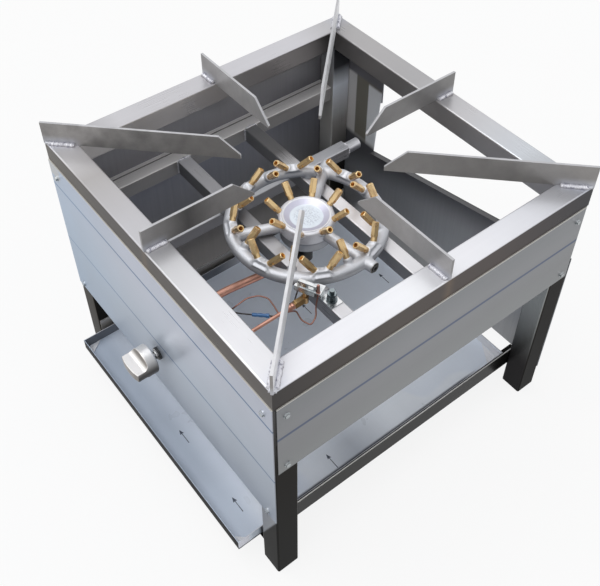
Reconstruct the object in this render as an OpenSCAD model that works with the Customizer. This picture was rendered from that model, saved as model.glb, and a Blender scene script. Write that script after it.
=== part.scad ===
// Stock pot stove: a low square stand of stainless tube that carries one heavy
// pot over a cast ring burner. Four legs hold a mitred top frame, and eight flat
// bars on edge reach inward from it as the pot rest. Sheet panels close the
// sides, two cross bars carry the burner, and a drip tray slides out below.
// Millimetres. The origin is the middle of the frame's footprint on the floor,
// the front with the knob faces -Y and +X is to the right.

/* [Frame] */
// Side of the square frame, over its legs
frame_w = 600; // [560:5:680]
// Height of the frame's top face above the floor
frame_h = 500; // [470:5:600]
// Side of the square tube of the legs and the top frame
tube_w = 40; // [36:1:45]
// Wall of the frame's tube
tube_wall = 2; // [1.5:0.5:2.5]
// Outer corner radius of the frame's tube
tube_r = 3; // [2.5:0.5:4]
// Height of the plastic plug in each leg's foot
plug_h = 12; // [6:1:25]
// Gap all round a plug in its leg
plug_gap = 0.1; // [0.05:0.05:0.3]

/* [Pot bars] */
// Height of a bar on edge
bar_h = 40; // [38:1:50]
// Thickness of a bar
bar_t = 4; // [3:0.5:6]
// Length of the bar in the middle of each side
side_bar_len = 190; // [150:5:220]
// Length of the bar on each diagonal
corner_bar_len = 314; // [260:2:330]
// Length of the 45 degree slope on a side bar's tip
side_bar_slope = 36; // [20:1:36]
// Length of the 45 degree slope on a corner bar's tip
corner_bar_slope = 33; // [20:1:36]
// Radius of the weld bead along a bar's foot
bead_r = 3.5; // [2:0.5:5]

/* [Burner support] */
// Width of the tubes that carry the burner
rest_w = 25; // [20:1:30]
// Height of those tubes
rest_h = 30; // [25:1:40]
// Wall of those tubes
rest_wall = 1.5; // [1:0.5:2.5]
// Outer corner radius of those tubes
rest_r = 2.5; // [2:0.5:3]
// Drop of their top faces below the frame's top face
rest_drop = 130; // [115:1:155]
// Thickness of the packing strip behind each side rail
strip_t = 8; // [5:1:9]
// Gap between a side rail and its packing strip
strip_gap = 0.9; // [0.5:0.1:1.5]
// Place of the front cross bar along Y
front_cross_y = -76.5; // [-90:0.5:-65]
// Place of the rear cross bar along Y
rear_cross_y = 68.5; // [60:0.5:85]

/* [Panels] */
// Thickness of the side sheets
panel_t = 1.5; // [1:0.25:2]
// Drop of the front sheet's upper edge below the frame's top face
front_drop = 34; // [32:1:38]
// Height of the front sheet
front_sheet_h = 297; // [266:1:346]
// Drop of the other sheets' upper edges below the frame's top face
side_drop = 37; // [34:1:39]
// Height of the right sheet
right_sheet_h = 158; // [143:1:213]
// Height of the tall left sheet
left_sheet_h = 428; // [323:1:443]
// Height of the rear sheet, at its upright margin
rear_sheet_h = 415; // [353:1:423]
// Setback of a side sheet from the frame's corners
panel_inset = 5; // [3:1:8]
// Drop of the foot of the rear sheet's window below the frame's top face
window_drop = 252; // [240:1:280]
// Rise of the window's lower edge, as a slope
window_rise = 0.1946; // [0.1:0.01:0.22]
// Width of the rear sheet's upright margin
window_margin = 129; // [110:1:135]
// Depth of the folded lip on the window's lower edge
lip_depth = 9; // [5:1:15]

/* [Screws] */
// Diameter of a panel screw's shank
screw_d = 4.6; // [4:0.1:5]
// Clearance of a screw in its holes, on the diameter
screw_gap = 0.2; // [0.2:0.05:0.6]
// Length of the shank under the head
screw_len = 14; // [10:1:15]
// Diameter of a screw's flange
screw_flange_d = 10; // [9:0.5:12]
// Thickness of the flange
screw_flange_t = 1.2; // [1:0.1:2]
// Size across the flats of the hexagon head
screw_af = 7; // [6:0.5:8]
// Height of the hexagon above the flange
screw_head_h = 2.6; // [2:0.1:4]
// Drop of the front sheet's top screws below its edge
front_screw_drop = 28; // [20:1:40]
// Height of the front sheet's low screws above its edge
front_screw_rise = 11; // [9:1:30]
// Drop of the other sheets' top screws below their edge
side_screw_drop = 23; // [15:1:40]
// Height of the other sheets' low screws above their edge
side_screw_rise = 15; // [9:1:30]

/* [Tray] */
// Gap between the drip tray and the legs, on each side
tray_side = 10; // [4:1:15]
// Depth of the tray, front to back
tray_l = 596; // [560:2:600]
// Height of the tray's walls
tray_h = 22.7; // [15:0.1:32]
// Sheet of the tray and its corner flaps
tray_t = 1; // [0.8:0.1:2]
// How far the tray stands out beyond the front legs
tray_out = 40; // [0:5:80]
// Length of the folded flap at each corner
flap_len = 26; // [10:1:40]
// Height of the runners' resting face
runner_z = 50; // [40:1:60]
// Width of a runner's resting leg
runner_w = 25; // [15:1:35]
// Height of a runner's upright leg
runner_h = 40; // [30:1:45]
// Sheet of the runners
runner_t = 2; // [1.5:0.5:3]
// Setback of the runners' ends from the frame's faces
runner_inset = 2; // [1:1:10]
// Running gap under the tray
tray_gap = 0.3; // [0.2:0.1:0.6]

/* [Burner casting] */
// Place of the burner along Y
burner_y = -10; // [-15:1:-5]
// Mean radius of the ring
ring_r = 124; // [118:1:130]
// Radius of the ring's tube
ring_tube_r = 11; // [10:0.5:13]
// Radius of the hub
hub_r = 46; // [44:0.5:50]
// Radius of the hub's lower drum
drum_r = 44; // [36:0.5:45]
// Height of the hub's flange, from the drum to the rim
hub_h = 22; // [18:0.5:24]
// Height of the hub's lower drum
drum_h = 20; // [12:0.5:26]
// Drop of the hub's top face below the ring's crown
hub_drop = -3; // [-6:0.5:2]
// Chamfer on the hub's edges
hub_chamfer = 2; // [1:0.5:3]
// Radius of the cap
cap_r = 40; // [36:0.5:41]
// Depth of the cap's seat in the hub
cap_seat = 5; // [3:0.5:6]
// Clearance round the cap in its seat
cap_gap = 0.2; // [0.1:0.05:0.5]
// Height of the cap's rim above the hub's top
cap_rise = 3; // [2:0.5:5]
// Radius of the dish in the cap
dish_r = 26.5; // [20:0.5:30]
// Depth of the dish below the rim
dish_depth = 5; // [3:0.5:6]
// Radius of the three spokes
spoke_r = 9.5; // [8:0.5:10]
// Direction of the first spoke, in degrees from +X
spoke_turn = 8; // [4:1:12]
// Width of the web between a pair of jets, at the ring's core
web_low_w = 42; // [36:1:46]
// Width of that web at the jets' seats
web_top_w = 24; // [18:1:28]
// Thickness of that web
web_t = 12; // [8:0.5:13]
// Reach of a plug boss beyond the ring's mean radius
plug_boss_len = 22; // [18:1:28]
// Radius of a plug boss
plug_boss_r = 10; // [9:0.5:11]
// Radius of the foot pads under the ring
pad_r = 11; // [10:0.5:12]
// Height of the foot pads
pad_h = 9; // [6:0.5:11]

/* [Jets] */
// Number of jet groups round the ring and of jets on the hub
jet_groups = 8; // [8]
// Lean of every jet from upright, in degrees
jet_tilt = 43; // [40:0.5:46]
// Turn of a paired jet from the outward radius, in degrees
pair_turn = 114; // [112:1:118]
// Direction of the first pair, in degrees from +X
pair_start = 18.1; // [16:0.1:20]
// Direction of the first inward jet, in degrees from +X
inward_start = -4.4; // [-6:0.1:-3]
// Distance from the ring's core to a jet's seat
jet_seat = 18.3; // [17:0.1:20]
// Radius of a boss under a jet
boss_r = 7.5; // [7:0.1:8]
// Radius on which the hub's jets are seated
hub_jet_r = 44.7; // [44:0.1:46]
// Depth of a hub boss below its seat
hub_boss_len = 14; // [12:0.5:16]
// Length of a jet
jet_len = 31; // [26:0.5:34]
// Size across the flats of a jet's hexagon
jet_af = 10.8; // [9:0.1:12]
// Diameter of the round base
jet_base_d = 10.4; // [9:0.1:11]
// Height of the round base
jet_base_h = 7; // [5:0.5:10]
// Diameter of the mixing bore
jet_bore_d = 7.4; // [6:0.1:8]
// Depth of the mixing bore
jet_bore_depth = 24; // [18:0.5:26]
// Diameter of the air hole across the base
air_hole_d = 3.6; // [2.5:0.1:5]
// Height of the air hole
air_hole_z = 9.6; // [8:0.1:14]

/* [Gas line] */
// Side of the square gas manifold
manifold_w = 25; // [20:1:30]
// Wall of the manifold
manifold_wall = 2; // [1.5:0.5:3]
// Place of the manifold along X
manifold_x = -147.5; // [-160:0.5:-140]
// Setback of the manifold's front end from the frame's front face
manifold_set_front = 45; // [44:1:80]
// Setback of the manifold's rear end from the frame's rear face
manifold_set_rear = 103; // [80:1:140]
// Outer diameter of the threaded inlet nipple
nipple_d = 21.3; // [18:0.1:24]
// Bore of the inlet nipple
nipple_bore = 16; // [12:0.5:18]
// Length of the inlet nipple
nipple_len = 30; // [20:1:45]
// Outer diameter of the copper feed pipe
feed_d = 12; // [10:1:14]
// Outer diameter of the pilot pipe
pilot_d = 6; // [5:0.5:8]
// Radius of the black elbow under the hub
elbow_r = 11; // [10:0.5:13]
// Drop of the elbow's inlet below the hub's drum
elbow_drop = 45; // [40:1:50]
// Reach of the elbow's inlet toward the front
elbow_reach = 18; // [16:1:22]
// Size across the flats of the elbow's nut
elbow_af = 22; // [20:1:24]

/* [Gas valve and knob] */
// Place of the valve's spindle along X
valve_x = -8; // [-20:1:5]
// Drop of the valve's spindle below the frame's top face
valve_drop = 241; // [225:1:260]
// Diameter of the valve's barrel
valve_d = 36; // [32:1:40]
// Length of the barrel
valve_len = 60; // [56:1:70]
// Gap between the barrel and the front sheet
valve_back = 4; // [2:1:8]
// Diameter of the collar through the front sheet
collar_d = 18; // [16:0.5:19]
// Clearance of the collar in the sheet, on the diameter
collar_gap = 1; // [0.4:0.1:1.5]
// Diameter of the spindle
spindle_d = 8; // [7:0.5:9]
// Running clearance of the spindle and the plunger, on the diameter
spindle_fit = 0.1; // [0.05:0.01:0.16]
// Diameter of the plunger in the valve
plunger_d = 14; // [12:0.5:15]
// Length of the plunger
plunger_len = 12; // [10:1:14]
// Travel of the knob when it is pushed to light the pilot
push_travel = 4; // [3:0.5:5]
// Diameter of the dark seal ring on the front sheet
seal_d = 22; // [21:0.5:26]
// Thickness of the seal ring
seal_t = 4; // [3:0.5:5]
// Radius of the knob
knob_r = 25.5; // [22:0.5:27]
// Gap from the front sheet to the knob's back
knob_stand = 13.5; // [12:0.5:18]
// Depth of the knob's round body
knob_body = 18; // [14:0.5:22]
// Reach of the knob's grip beyond its body
grip_reach = 24; // [16:0.5:26]
// Width of the knob's grip
grip_w = 16; // [12:0.5:18]
// Crown of the grip's front, from its middle to its ends
grip_crown = 4; // [3:0.5:8]
// Depth of the blind bore in the knob
knob_bore = 30; // [20:1:32]

/* [Pilot] */
// Place of the pilot bracket's corner along X
pilot_x = 118; // [114:1:122]
// Place of the pilot bracket's corner along Y
pilot_y = -101; // [-106:1:-98]
// Turn of the pilot bracket about the vertical, in degrees
pilot_turn = 26; // [22:1:30]
// Sheet of the pilot bracket
bracket_t = 1.5; // [1:0.25:2]
// Height of the bracket's shelf above the cross bars
shelf_rise = 14; // [12:0.5:18]
// Height of the hood above the shelf
hood_h = 12; // [9:0.5:16]
// Diameter of the stud that holds the bracket
stud_d = 8; // [6:0.5:8]
// Size across the flats of the stud's nuts
stud_af = 13; // [10:0.5:13]
// Diameter of the thermocouple's capillary
capillary_d = 2.5; // [2:0.1:3]
// Diameter of the ignition lead
lead_d = 2.4; // [2:0.1:3]
// Diameter of the crimped joint in the ignition lead
crimp_d = 5.4; // [4:0.1:7]

/* [Hidden] */
$fn = 48;
// Overshoot of a cut beyond the face that it opens
cut = 1;
half = frame_w / 2;
leg_h = frame_h - tube_w;
leg_mid = half - tube_w / 2;
leg_inner = half - tube_w;
corner_fill = 0.6;

// The four sides and corners, counted from the left side and the front left
// corner. Side i is side 0 turned by i quarter turns, and so is corner i.
SIDES = ["left", "front", "right", "rear"];
CORNERS = ["front_left", "front_right", "rear_right", "rear_left"];
FRONT = 1;
REAR = 3;

// Lower and upper edge and setback of each side's sheet
side_top = frame_h - side_drop;
front_top = frame_h - front_drop;
panel_top = [side_top, front_top, side_top, side_top];
panel_low = panel_top - [left_sheet_h, front_sheet_h, right_sheet_h, rear_sheet_h];
panel_end = [panel_inset, 0, panel_inset, 0];

// Rear sheet: its margin widens at the window's foot and is notched at its top,
// and the window's lower edge rises from that foot, here above a given x
window_left = window_margin - half;
window_low = frame_h - window_drop;
window_foot = 7;
window_notch = 90;
notch_step = 2;
lip_drop = 0.4;
function window_edge(x) = window_low + window_rise * (x - window_left + window_foot);

// Heights of the two screws at a side's first and second leg
function screw_heights(side, end) =
    side == FRONT ? [panel_low[FRONT] + front_screw_rise, front_top - front_screw_drop]
    : side == REAR && end > 0
    ? [panel_low[REAR] + side_screw_rise, window_edge(leg_mid) - side_screw_drop]
    : [panel_low[side] + side_screw_rise, panel_top[side] - side_screw_drop];

// Side rails and packing strips
strip_x = half - strip_t;
side_rail_x = strip_x - strip_gap - rest_w / 2;
cross_len = 2 * (side_rail_x - rest_w / 2);
rest_z = frame_h - rest_drop;
under_cross = rest_z - rest_h;

// Tray and runners
runner_x = leg_inner;
runner_len = frame_w - 2 * runner_inset;
tray_w = 2 * (leg_inner - tray_side);
tray_z = runner_z + tray_gap;
tray_front = -half - tray_out;
flap_low = 1.1;
flap_h = 18.2;

// Burner
ring_z = rest_z + ring_tube_r;
hub_top = ring_z + ring_tube_r - hub_drop;
hub_low = hub_top - hub_h;
drum_low = hub_low - drum_h;
spoke_z = ring_z;
spoke_count = 3;
plug_count = 2;
seat_z = hub_top - cap_seat;
pad_y = [front_cross_y, rear_cross_y];
function pad_x(y) = sqrt(pow(ring_r, 2) - pow(y - burner_y, 2));
bolt_d = 6;
bolt_gap = 0.4;
bolt_af = 10;
bolt_head = 4;
bolt_reach = 8;
bolt_len = rest_h + bolt_reach;
pipe_plug_d = 14;
pipe_plug_out = 2;
pipe_plug_in = 6;
pipe_plug_gap = 0.1;
pipe_plug_af = 6;
spoke_root = 4;
casting_gap = 0.25;
web_drop = 2;
mouth_edge = 0.5;

// Gas line
manifold_z = under_cross - manifold_w / 2;
manifold_front = manifold_set_front - half;
manifold_rear = half - manifold_set_rear;
elbow_z = drum_low - elbow_drop;
elbow_nut = 8;
elbow_foot = 11;
elbow_branch_r = 9;
elbow_end = burner_y - elbow_reach - elbow_nut;
corner_steps = 5;
feed_blend = 14;
link_blend = 14;
link_d = 10;
link_bore = 7;
link_y = manifold_front - 18;
feed_gap = 0.2;
pilot_blend = 15;
pipe_sides = 16;
lead_sides = 8;

// Valve, from front to back along Y
sheet_face = -half - panel_t;
valve_z = frame_h - valve_drop;
barrel_front = -half + valve_back;
barrel_rear = barrel_front + valve_len;
port_y = barrel_front + 37;
port_r = 9;
port_h = 24;
inlet_reach = valve_d / 2 + 8;
pilot_port_y = barrel_front + 18;
pilot_port_r = 6;
pilot_reach = valve_d / 2 + 6;
plunger_front = barrel_front + 34;
chamber_front = plunger_front - 6;
chamber_end = plunger_front + plunger_len + push_travel + 2;
step_gap = 0.3;
spindle_rear = plunger_front - step_gap;
spigot_d = 5;
spigot_len = plunger_len - 3;
spigot_play = 0.5;
magnet_d = 14;
magnet_end = barrel_rear + 18;
terminal_d = 6;
terminal_x = valve_x - 6;
terminal_y = barrel_rear - 8;
terminal_top = valve_z + valve_d / 2 + 6;
seal_gap = 0.4;

// Knob, from back to front along -Y
knob_back = sheet_face - knob_stand;
knob_edge = 2;
knob_fit = 0.1;
knob_play = 0.5;
grip_fillet = 9;

// Routes of the pipes and leads, through round points chosen by eye. Their
// heights hang from the cross bars' top or the valve's axis.
feed_high = valve_z + 53;
feed_route = [
    [valve_x, port_y, valve_z + port_h],
    [valve_x, port_y, feed_high],
    [valve_x - 2, -170, feed_high],
    [0, -60, elbow_z],
    [0, elbow_end + elbow_nut, elbow_z]
];
link_route = [
    [manifold_x, manifold_front, manifold_z],
    [manifold_x, link_y, manifold_z],
    [manifold_x, link_y, valve_z],
    [valve_x - inlet_reach, link_y, valve_z]
];
// A point of the turned pilot bracket, whose z = 0 is the cross bars' top
function pilot_point(x, y, z) = [
    pilot_x + x * cos(pilot_turn) - y * sin(pilot_turn),
    pilot_y + x * sin(pilot_turn) + y * cos(pilot_turn),
    rest_z + z
];
pilot_riser = [-6.5, 5];
pilot_drop = 15;
pilot_feed = pilot_point(pilot_riser.x, pilot_riser.y, -pilot_drop);
pilot_nut_y = pilot_y - 2;
pilot_nut_len = 16;
pilot_tail_len = 21;
pilot_route = [
    [pilot_feed.x, pilot_nut_y - pilot_tail_len, pilot_feed.z],
    [pilot_feed.x, -225, pilot_feed.z - 2],
    [62, -262, rest_z - 70],
    [40, pilot_port_y, valve_z],
    [valve_x + pilot_reach, pilot_port_y, valve_z]
];
tip_place = [17, 2.2];
tip_below = 6;
capillary_route = [
    pilot_point(tip_place.x, tip_place.y, shelf_rise - tip_below),
    [136, -99, rest_z - 8],
    [146, -106, rest_z - 18],
    [150, -119, rest_z - 25],
    [132, -123, rest_z - 28],
    [110, -117, rest_z - 30],
    [99, -142, rest_z - 30],
    [81, -138, rest_z - 30],
    [64, -136, rest_z - 30],
    [50, -144, rest_z - 31],
    [40, -160, rest_z - 35],
    [38, -182, rest_z - 42],
    [24, magnet_end + 12, valve_z + 41],
    [valve_x, magnet_end + 12, valve_z],
    [valve_x, magnet_end, valve_z]
];
lead_blend = 5;
tip_d = 5;
tip_len = 24;
lead_place = [-15, 2];
lead_start = [
    pilot_point(lead_place.x, lead_place.y, shelf_rise),
    [98, -111, rest_z - 25],
    [80, -116, rest_z - 50],
    [86, -134.5, rest_z - 55],
    [77, -144, rest_z - 55]
];
lead_end = [
    [58, -164, rest_z - 55],
    [48, -174.5, rest_z - 55],
    [33, -184, rest_z - 58],
    [6, -206, valve_z + 41],
    [terminal_x, -226, valve_z + 37],
    [terminal_x, terminal_y, terminal_top + 8],
    [terminal_x, terminal_y, terminal_top]
];
foot_w = 34;
foot_set = 20;
shelf_reach = 22;
// Rear edge of the shelf, cut back round the ring
shelf_rear = [[shelf_reach, 19], [10, 18], [0, 13], [-7, 9.8], [-12, 7.5], [-shelf_reach, 3.8]];
lip_h = 9;
lip_w = 34;
web_place = [18, 6];
web_w = 12;
hood_place = [-16, -0.2];
hood_w = 30;
hood_d = 6;
hood_t = 1.2;
hood_window_w = 9;
hood_window_edge = 3;
riser_d = 7;
riser_above = 9;
pilot_block_d = 12;
pilot_nut_af = 13;
pilot_tail_d = 10;
stud_place = [147, -77];
stud_gap = 0.4;
stud_top = 22;
washer_r = 9;
washer_t = 1.6;
nut_h = 6.5;
nut_gap = 0.5;

STEEL = [0.72, 0.71, 0.68];
DARK_STEEL = [0.45, 0.44, 0.40];
FILM = [0.70, 0.76, 0.83];
CAST = [0.80, 0.81, 0.82];
BRASS = [0.78, 0.60, 0.30];
COPPER = [0.76, 0.47, 0.36];
ZINC = [0.74, 0.76, 0.76];
BLACK = [0.10, 0.10, 0.10];

// Puts the left side's outer face at x = 0, looking inward along +x, on side i
module on_side(i) {
    rotate([0, 0, 90 * i]) translate([-half, 0, 0]) children();
}

// Puts the front left corner at the origin, looking inward along +x and +y, on corner i
module on_corner(i) {
    rotate([0, 0, 90 * i]) translate([-half, -half, 0]) children();
}

// Rectangle with round corners, about its middle
module round_rect(w, h, r) {
    square([w - 2 * r, h], center = true);
    square([w, h - 2 * r], center = true);
    for (x = [-1, 1], y = [-1, 1])
        translate([x * (w / 2 - r), y * (h / 2 - r)]) circle(r);
}

// Inner corner radius of a tube, a little fuller than its wall alone leaves
function inner_r(r, wall) = r - wall + corner_fill;

// Section of a rectangular tube, about its middle
module tube_section(w, h, wall, r) {
    difference() {
        round_rect(w, h, r);
        round_rect(w - 2 * wall, h - 2 * wall, inner_r(r, wall));
    }
}

// Rectangular tube along Y from y = 0, with w across X and h up Z
module tube_along_y(len, w, h, wall, r) {
    translate([0, len, 0]) rotate([90, 0, 0]) linear_extrude(len) tube_section(w, h, wall, r);
}

function unit(v) = v / norm(v);
function across(v) = unit(cross(v, abs(v.z) < 0.9 * norm(v) ? [0, 0, 1] : [1, 0, 0]));

// Moves x, y and z onto three square directions at a point
module place(x, y, z, at) {
    multmatrix([
        [x.x, y.x, z.x, at.x],
        [x.y, y.y, z.y, at.y],
        [x.z, y.z, z.z, at.z],
        [0, 0, 0, 1]
    ]) children();
}

// Round rod from point a to point b
module rod(a, b, r) {
    z = unit(b - a);
    x = across(z);
    place(x, cross(z, x), z, a) cylinder(r = r, h = norm(b - a));
}

// A route with each corner rounded over a length on both of its sides
function rounded(route, blend) = [
    route[0],
    for (i = [1:len(route) - 2])
        let (
            from = route[i] - unit(route[i] - route[i - 1]) * blend,
            to = route[i] + unit(route[i + 1] - route[i]) * blend
        )
        for (k = [0:corner_steps])
            let (t = k / corner_steps)
            from * pow(1 - t, 2) + route[i] * 2 * t * (1 - t) + to * pow(t, 2),
    route[len(route) - 1]
];

// Direction of travel at each point of a path
function headings(path) = [
    for (i = [0:len(path) - 1])
        unit(path[min(i + 1, len(path) - 1)] - path[max(i - 1, 0)])
];

// Round pipe along a route, as one closed skin with the given number of sides
module pipe_run(route, r, blend, sides) {
    path = rounded(route, blend);
    ways = headings(path);
    last = len(path) - 1;
    // Carried along the path, so that the skin doesn't twist
    normals = [
        for (i = 0, n = across(ways[0]); i <= last;
             i = i + 1, n = i > last ? n : unit(n - ways[i] * (n * ways[i]))) n
    ];
    points = [
        for (i = [0:last], k = [0:sides - 1])
            path[i] + r * (cos(360 * k / sides) * normals[i]
                           + sin(360 * k / sides) * cross(ways[i], normals[i]))
    ];
    wall = [
        for (i = [0:last - 1], k = [0:sides - 1])
            let (next = (k + 1) % sides)
            [i * sides + k, (i + 1) * sides + k, (i + 1) * sides + next, i * sides + next]
    ];
    first_end = [for (k = [0:sides - 1]) k];
    last_end = [for (k = [sides - 1:-1:0]) last * sides + k];
    polyhedron(points, concat(wall, [first_end, last_end]), convexity = 8);
}

// Hexagonal prism by its size across the flats
module hexagon(af, h) {
    cylinder(r = af / 2 / cos(30), h = h, $fn = 6);
}

// Places its child at a side's screws, at the leg on the given end
module at_screws(side, end) {
    for (z = screw_heights(side, end))
        on_side(side) translate([0, end * leg_mid, z]) rotate([0, 90, 0]) children();
}

module leg(i) {
    color(DARK_STEEL) difference() {
        on_corner(i) translate([tube_w / 2, tube_w / 2, 0])
            linear_extrude(leg_h) tube_section(tube_w, tube_w, tube_wall, tube_r);
        for (place_on = [[i, -1], [(i + 1) % 4, 1]])
            at_screws(place_on[0], place_on[1]) translate([0, 0, -cut])
                cylinder(d = screw_d + screw_gap, h = tube_wall + 2 * cut);
    }
}

module leg_plugs() {
    side = tube_w - 2 * tube_wall - 2 * plug_gap;
    color(BLACK) for (i = [0:3])
        on_corner(i) translate([tube_w / 2, tube_w / 2, 0])
            linear_extrude(plug_h) round_rect(side, side, inner_r(tube_r, tube_wall));
}

// One side of the mitred top frame
module top_rail(i) {
    color(STEEL) on_side(i) intersection() {
        translate([tube_w / 2, -half, leg_h + tube_w / 2])
            tube_along_y(frame_w, tube_w, tube_w, tube_wall, tube_r);
        translate([0, 0, leg_h]) linear_extrude(tube_w) polygon([
            [0, -half],
            [tube_w, -leg_inner],
            [tube_w, leg_inner],
            [0, half]
        ]);
    }
}

// Flat bar on edge that reaches along +x, with its weld beads on the frame
module pot_bar(len, slope, bead_len) {
    rotate([90, 0, 0]) translate([0, 0, -bar_t / 2]) linear_extrude(bar_t) polygon([
        [0, 0],
        [len, 0],
        [len, bar_h - slope],
        [len - slope, bar_h],
        [0, bar_h]
    ]);
    for (side = [0, 1]) mirror([0, side, 0])
        translate([tube_r, bar_t / 2, 0]) rotate([90, 0, 90])
            linear_extrude(bead_len) intersection() {
                circle(bead_r);
                square(bead_r);
            }
}

module side_pot_bar(i) {
    color(STEEL) on_side(i) translate([0, 0, frame_h])
        pot_bar(side_bar_len, side_bar_slope, tube_w - 2 * tube_r);
}

module corner_pot_bar(i) {
    color(STEEL) on_corner(i) translate([0, 0, frame_h]) rotate([0, 0, 45])
        pot_bar(corner_bar_len, corner_bar_slope, tube_w * sqrt(2) - 3 * tube_r);
}

// Outline of a side's sheet, across and up
module panel_outline(i) {
    reach = half - panel_end[i];
    if (i == REAR) polygon([
        [-reach, panel_low[REAR]],
        [reach, panel_low[REAR]],
        [reach, window_edge(reach)],
        [window_left - window_foot, window_low],
        [window_left + notch_step, side_top - window_notch],
        [window_left + window_foot, side_top - window_notch + notch_step],
        [window_left + window_foot, side_top],
        [-reach, side_top]
    ]);
    else translate([-reach, panel_low[i]])
        square([2 * reach, panel_top[i] - panel_low[i]]);
}

module panel(i) {
    color(FILM) difference() {
        union() {
            on_side(i) rotate([90, 0, -90]) linear_extrude(panel_t) mirror([1, 0]) panel_outline(i);
            if (i == REAR) window_lip();
        }
        for (end = [-1, 1])
            at_screws(i, end) translate([0, 0, -panel_t - cut])
                cylinder(d = screw_d + screw_gap, h = panel_t + 2 * cut);
        if (i == FRONT)
            translate([valve_x, -half + cut, valve_z]) rotate([90, 0, 0])
                cylinder(d = collar_d + collar_gap, h = panel_t + 2 * cut);
    }
}

// Folded lip along the lower edge of the rear sheet's window, just under the
// edge and rooted in the middle of the sheet
module window_lip() {
    start = window_left - window_foot + lip_drop;
    translate([0, half + panel_t / 2, 0]) rotate([90, 0, 0])
        linear_extrude(lip_depth + panel_t / 2) polygon([
            [start, window_edge(start) - lip_drop - panel_t],
            [leg_inner, window_edge(leg_inner) - lip_drop - panel_t],
            [leg_inner, window_edge(leg_inner) - lip_drop],
            [start, window_edge(start) - lip_drop]
        ]);
}

// Flanged hexagon screw whose shank runs along +z from the sheet's face
module panel_screw() {
    cylinder(d = screw_d, h = screw_len);
    mirror([0, 0, 1]) {
        cylinder(d = screw_flange_d, h = screw_flange_t);
        hexagon(screw_af, screw_flange_t + screw_head_h);
    }
}

module panel_screws() {
    color(ZINC) for (side = [0:3], end = [-1, 1])
        at_screws(side, end) translate([0, 0, -panel_t]) panel_screw();
}

// Tube along one side inside the legs, with its packing strip behind it
module side_rail(sign) {
    color(STEEL) {
        translate([sign * side_rail_x, -leg_inner, rest_z - rest_h / 2])
            tube_along_y(2 * leg_inner, rest_w, rest_h, rest_wall, rest_r);
        translate([sign * (strip_x + strip_t / 2), 0, rest_z - rest_h / 2])
            cube([strip_t, 2 * leg_inner, rest_h], center = true);
    }
}

module cross_bar(y) {
    color(STEEL) difference() {
        translate([-cross_len / 2, y, rest_z - rest_h / 2]) rotate([0, 0, -90])
            tube_along_y(cross_len, rest_w, rest_h, rest_wall, rest_r);
        for (sign = [-1, 1])
            translate([sign * pad_x(y), y, under_cross - cut])
                cylinder(d = bolt_d + bolt_gap, h = rest_h + 2 * cut);
    }
}

// Angle that carries the tray's edge
module runner(sign) {
    color(DARK_STEEL) scale([sign, 1, 1]) translate([0, -runner_len / 2, 0]) {
        translate([runner_x - runner_w, 0, runner_z - runner_t])
            cube([runner_w, runner_len, runner_t]);
        translate([runner_x - runner_t, 0, runner_z - runner_t])
            cube([runner_t, runner_len, runner_h]);
    }
}

// Folded pan with a flap on each corner
module tray() {
    color(FILM) translate([0, tray_front, tray_z]) {
        difference() {
            translate([-tray_w / 2, 0, 0]) cube([tray_w, tray_l, tray_h]);
            translate([-tray_w / 2 + tray_t, tray_t, tray_t])
                cube([tray_w - 2 * tray_t, tray_l - 2 * tray_t, tray_h]);
        }
        for (x = [-1, 1], y = [tray_t, tray_l - 2 * tray_t])
            translate([x * (tray_w / 2 - tray_t - flap_len / 2), y + tray_t / 2, flap_low + flap_h / 2])
                cube([flap_len, tray_t, flap_h], center = true);
    }
}

// Moves to the burner's middle, at floor height
module at_burner() {
    translate([0, burner_y, 0]) children();
}

// Leans a jet's axis, turned from the outward radius
module lean(turn) {
    rotate([0, jet_tilt, turn]) children();
}

// Puts its child on the axis of each jet of a ring group, from the ring's core
module at_group(i) {
    step = 360 / jet_groups * (i - 1);
    for (turn = [-pair_turn, pair_turn])
        rotate([0, 0, pair_start + step]) translate([ring_r, 0, ring_z]) lean(turn) children();
    rotate([0, 0, inward_start + step]) translate([ring_r, 0, ring_z]) lean(180) children();
}

// Puts its child at the seat of each jet on the hub
module at_hub_jets() {
    for (i = [0:jet_groups - 1])
        rotate([0, 0, inward_start + 360 / jet_groups * i])
            translate([hub_jet_r, 0, hub_top]) lean(0) children();
}

module at_spokes() {
    for (i = [0:spoke_count - 1])
        rotate([0, 0, spoke_turn + 360 / spoke_count * i]) children();
}

// The spokes that end in a plugged boss outside the ring
module at_plugs() {
    for (i = [0:plug_count - 1])
        rotate([0, 0, spoke_turn + 360 / spoke_count * i])
            translate([ring_r, 0, ring_z]) rotate([0, 90, 0]) children();
}

// Flat web that joins the bosses of each pair of jets to the ring
module pair_webs(gap) {
    lean_back = atan(-tan(jet_tilt) * cos(pair_turn));
    rise = jet_seat * cos(jet_tilt) / cos(lean_back) - web_drop;
    for (i = [0:jet_groups - 1])
        rotate([0, 0, pair_start + 360 / jet_groups * i]) translate([ring_r, 0, ring_z])
            rotate([90, 0, 90]) rotate([lean_back, 0, 0]) translate([0, 0, -web_t / 2 - gap])
                linear_extrude(web_t + 2 * gap) polygon([
                    [-web_low_w / 2 - gap, 0],
                    [web_low_w / 2 + gap, 0],
                    [web_top_w / 2 + gap, rise + gap],
                    [-web_top_w / 2 - gap, rise + gap]
                ]);
}

module at_pads() {
    for (y = pad_y, sign = [-1, 1])
        translate([sign * pad_x(y), y - burner_y, rest_z]) children();
}

module hub_body() {
    rotate_extrude() polygon([
        [0, drum_low],
        [drum_r - hub_chamfer, drum_low],
        [drum_r, drum_low + hub_chamfer],
        [drum_r, hub_low - hub_chamfer],
        [hub_r, hub_low],
        [hub_r, hub_top - hub_chamfer],
        [hub_r - hub_chamfer, hub_top],
        [0, hub_top]
    ]);
}

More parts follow.
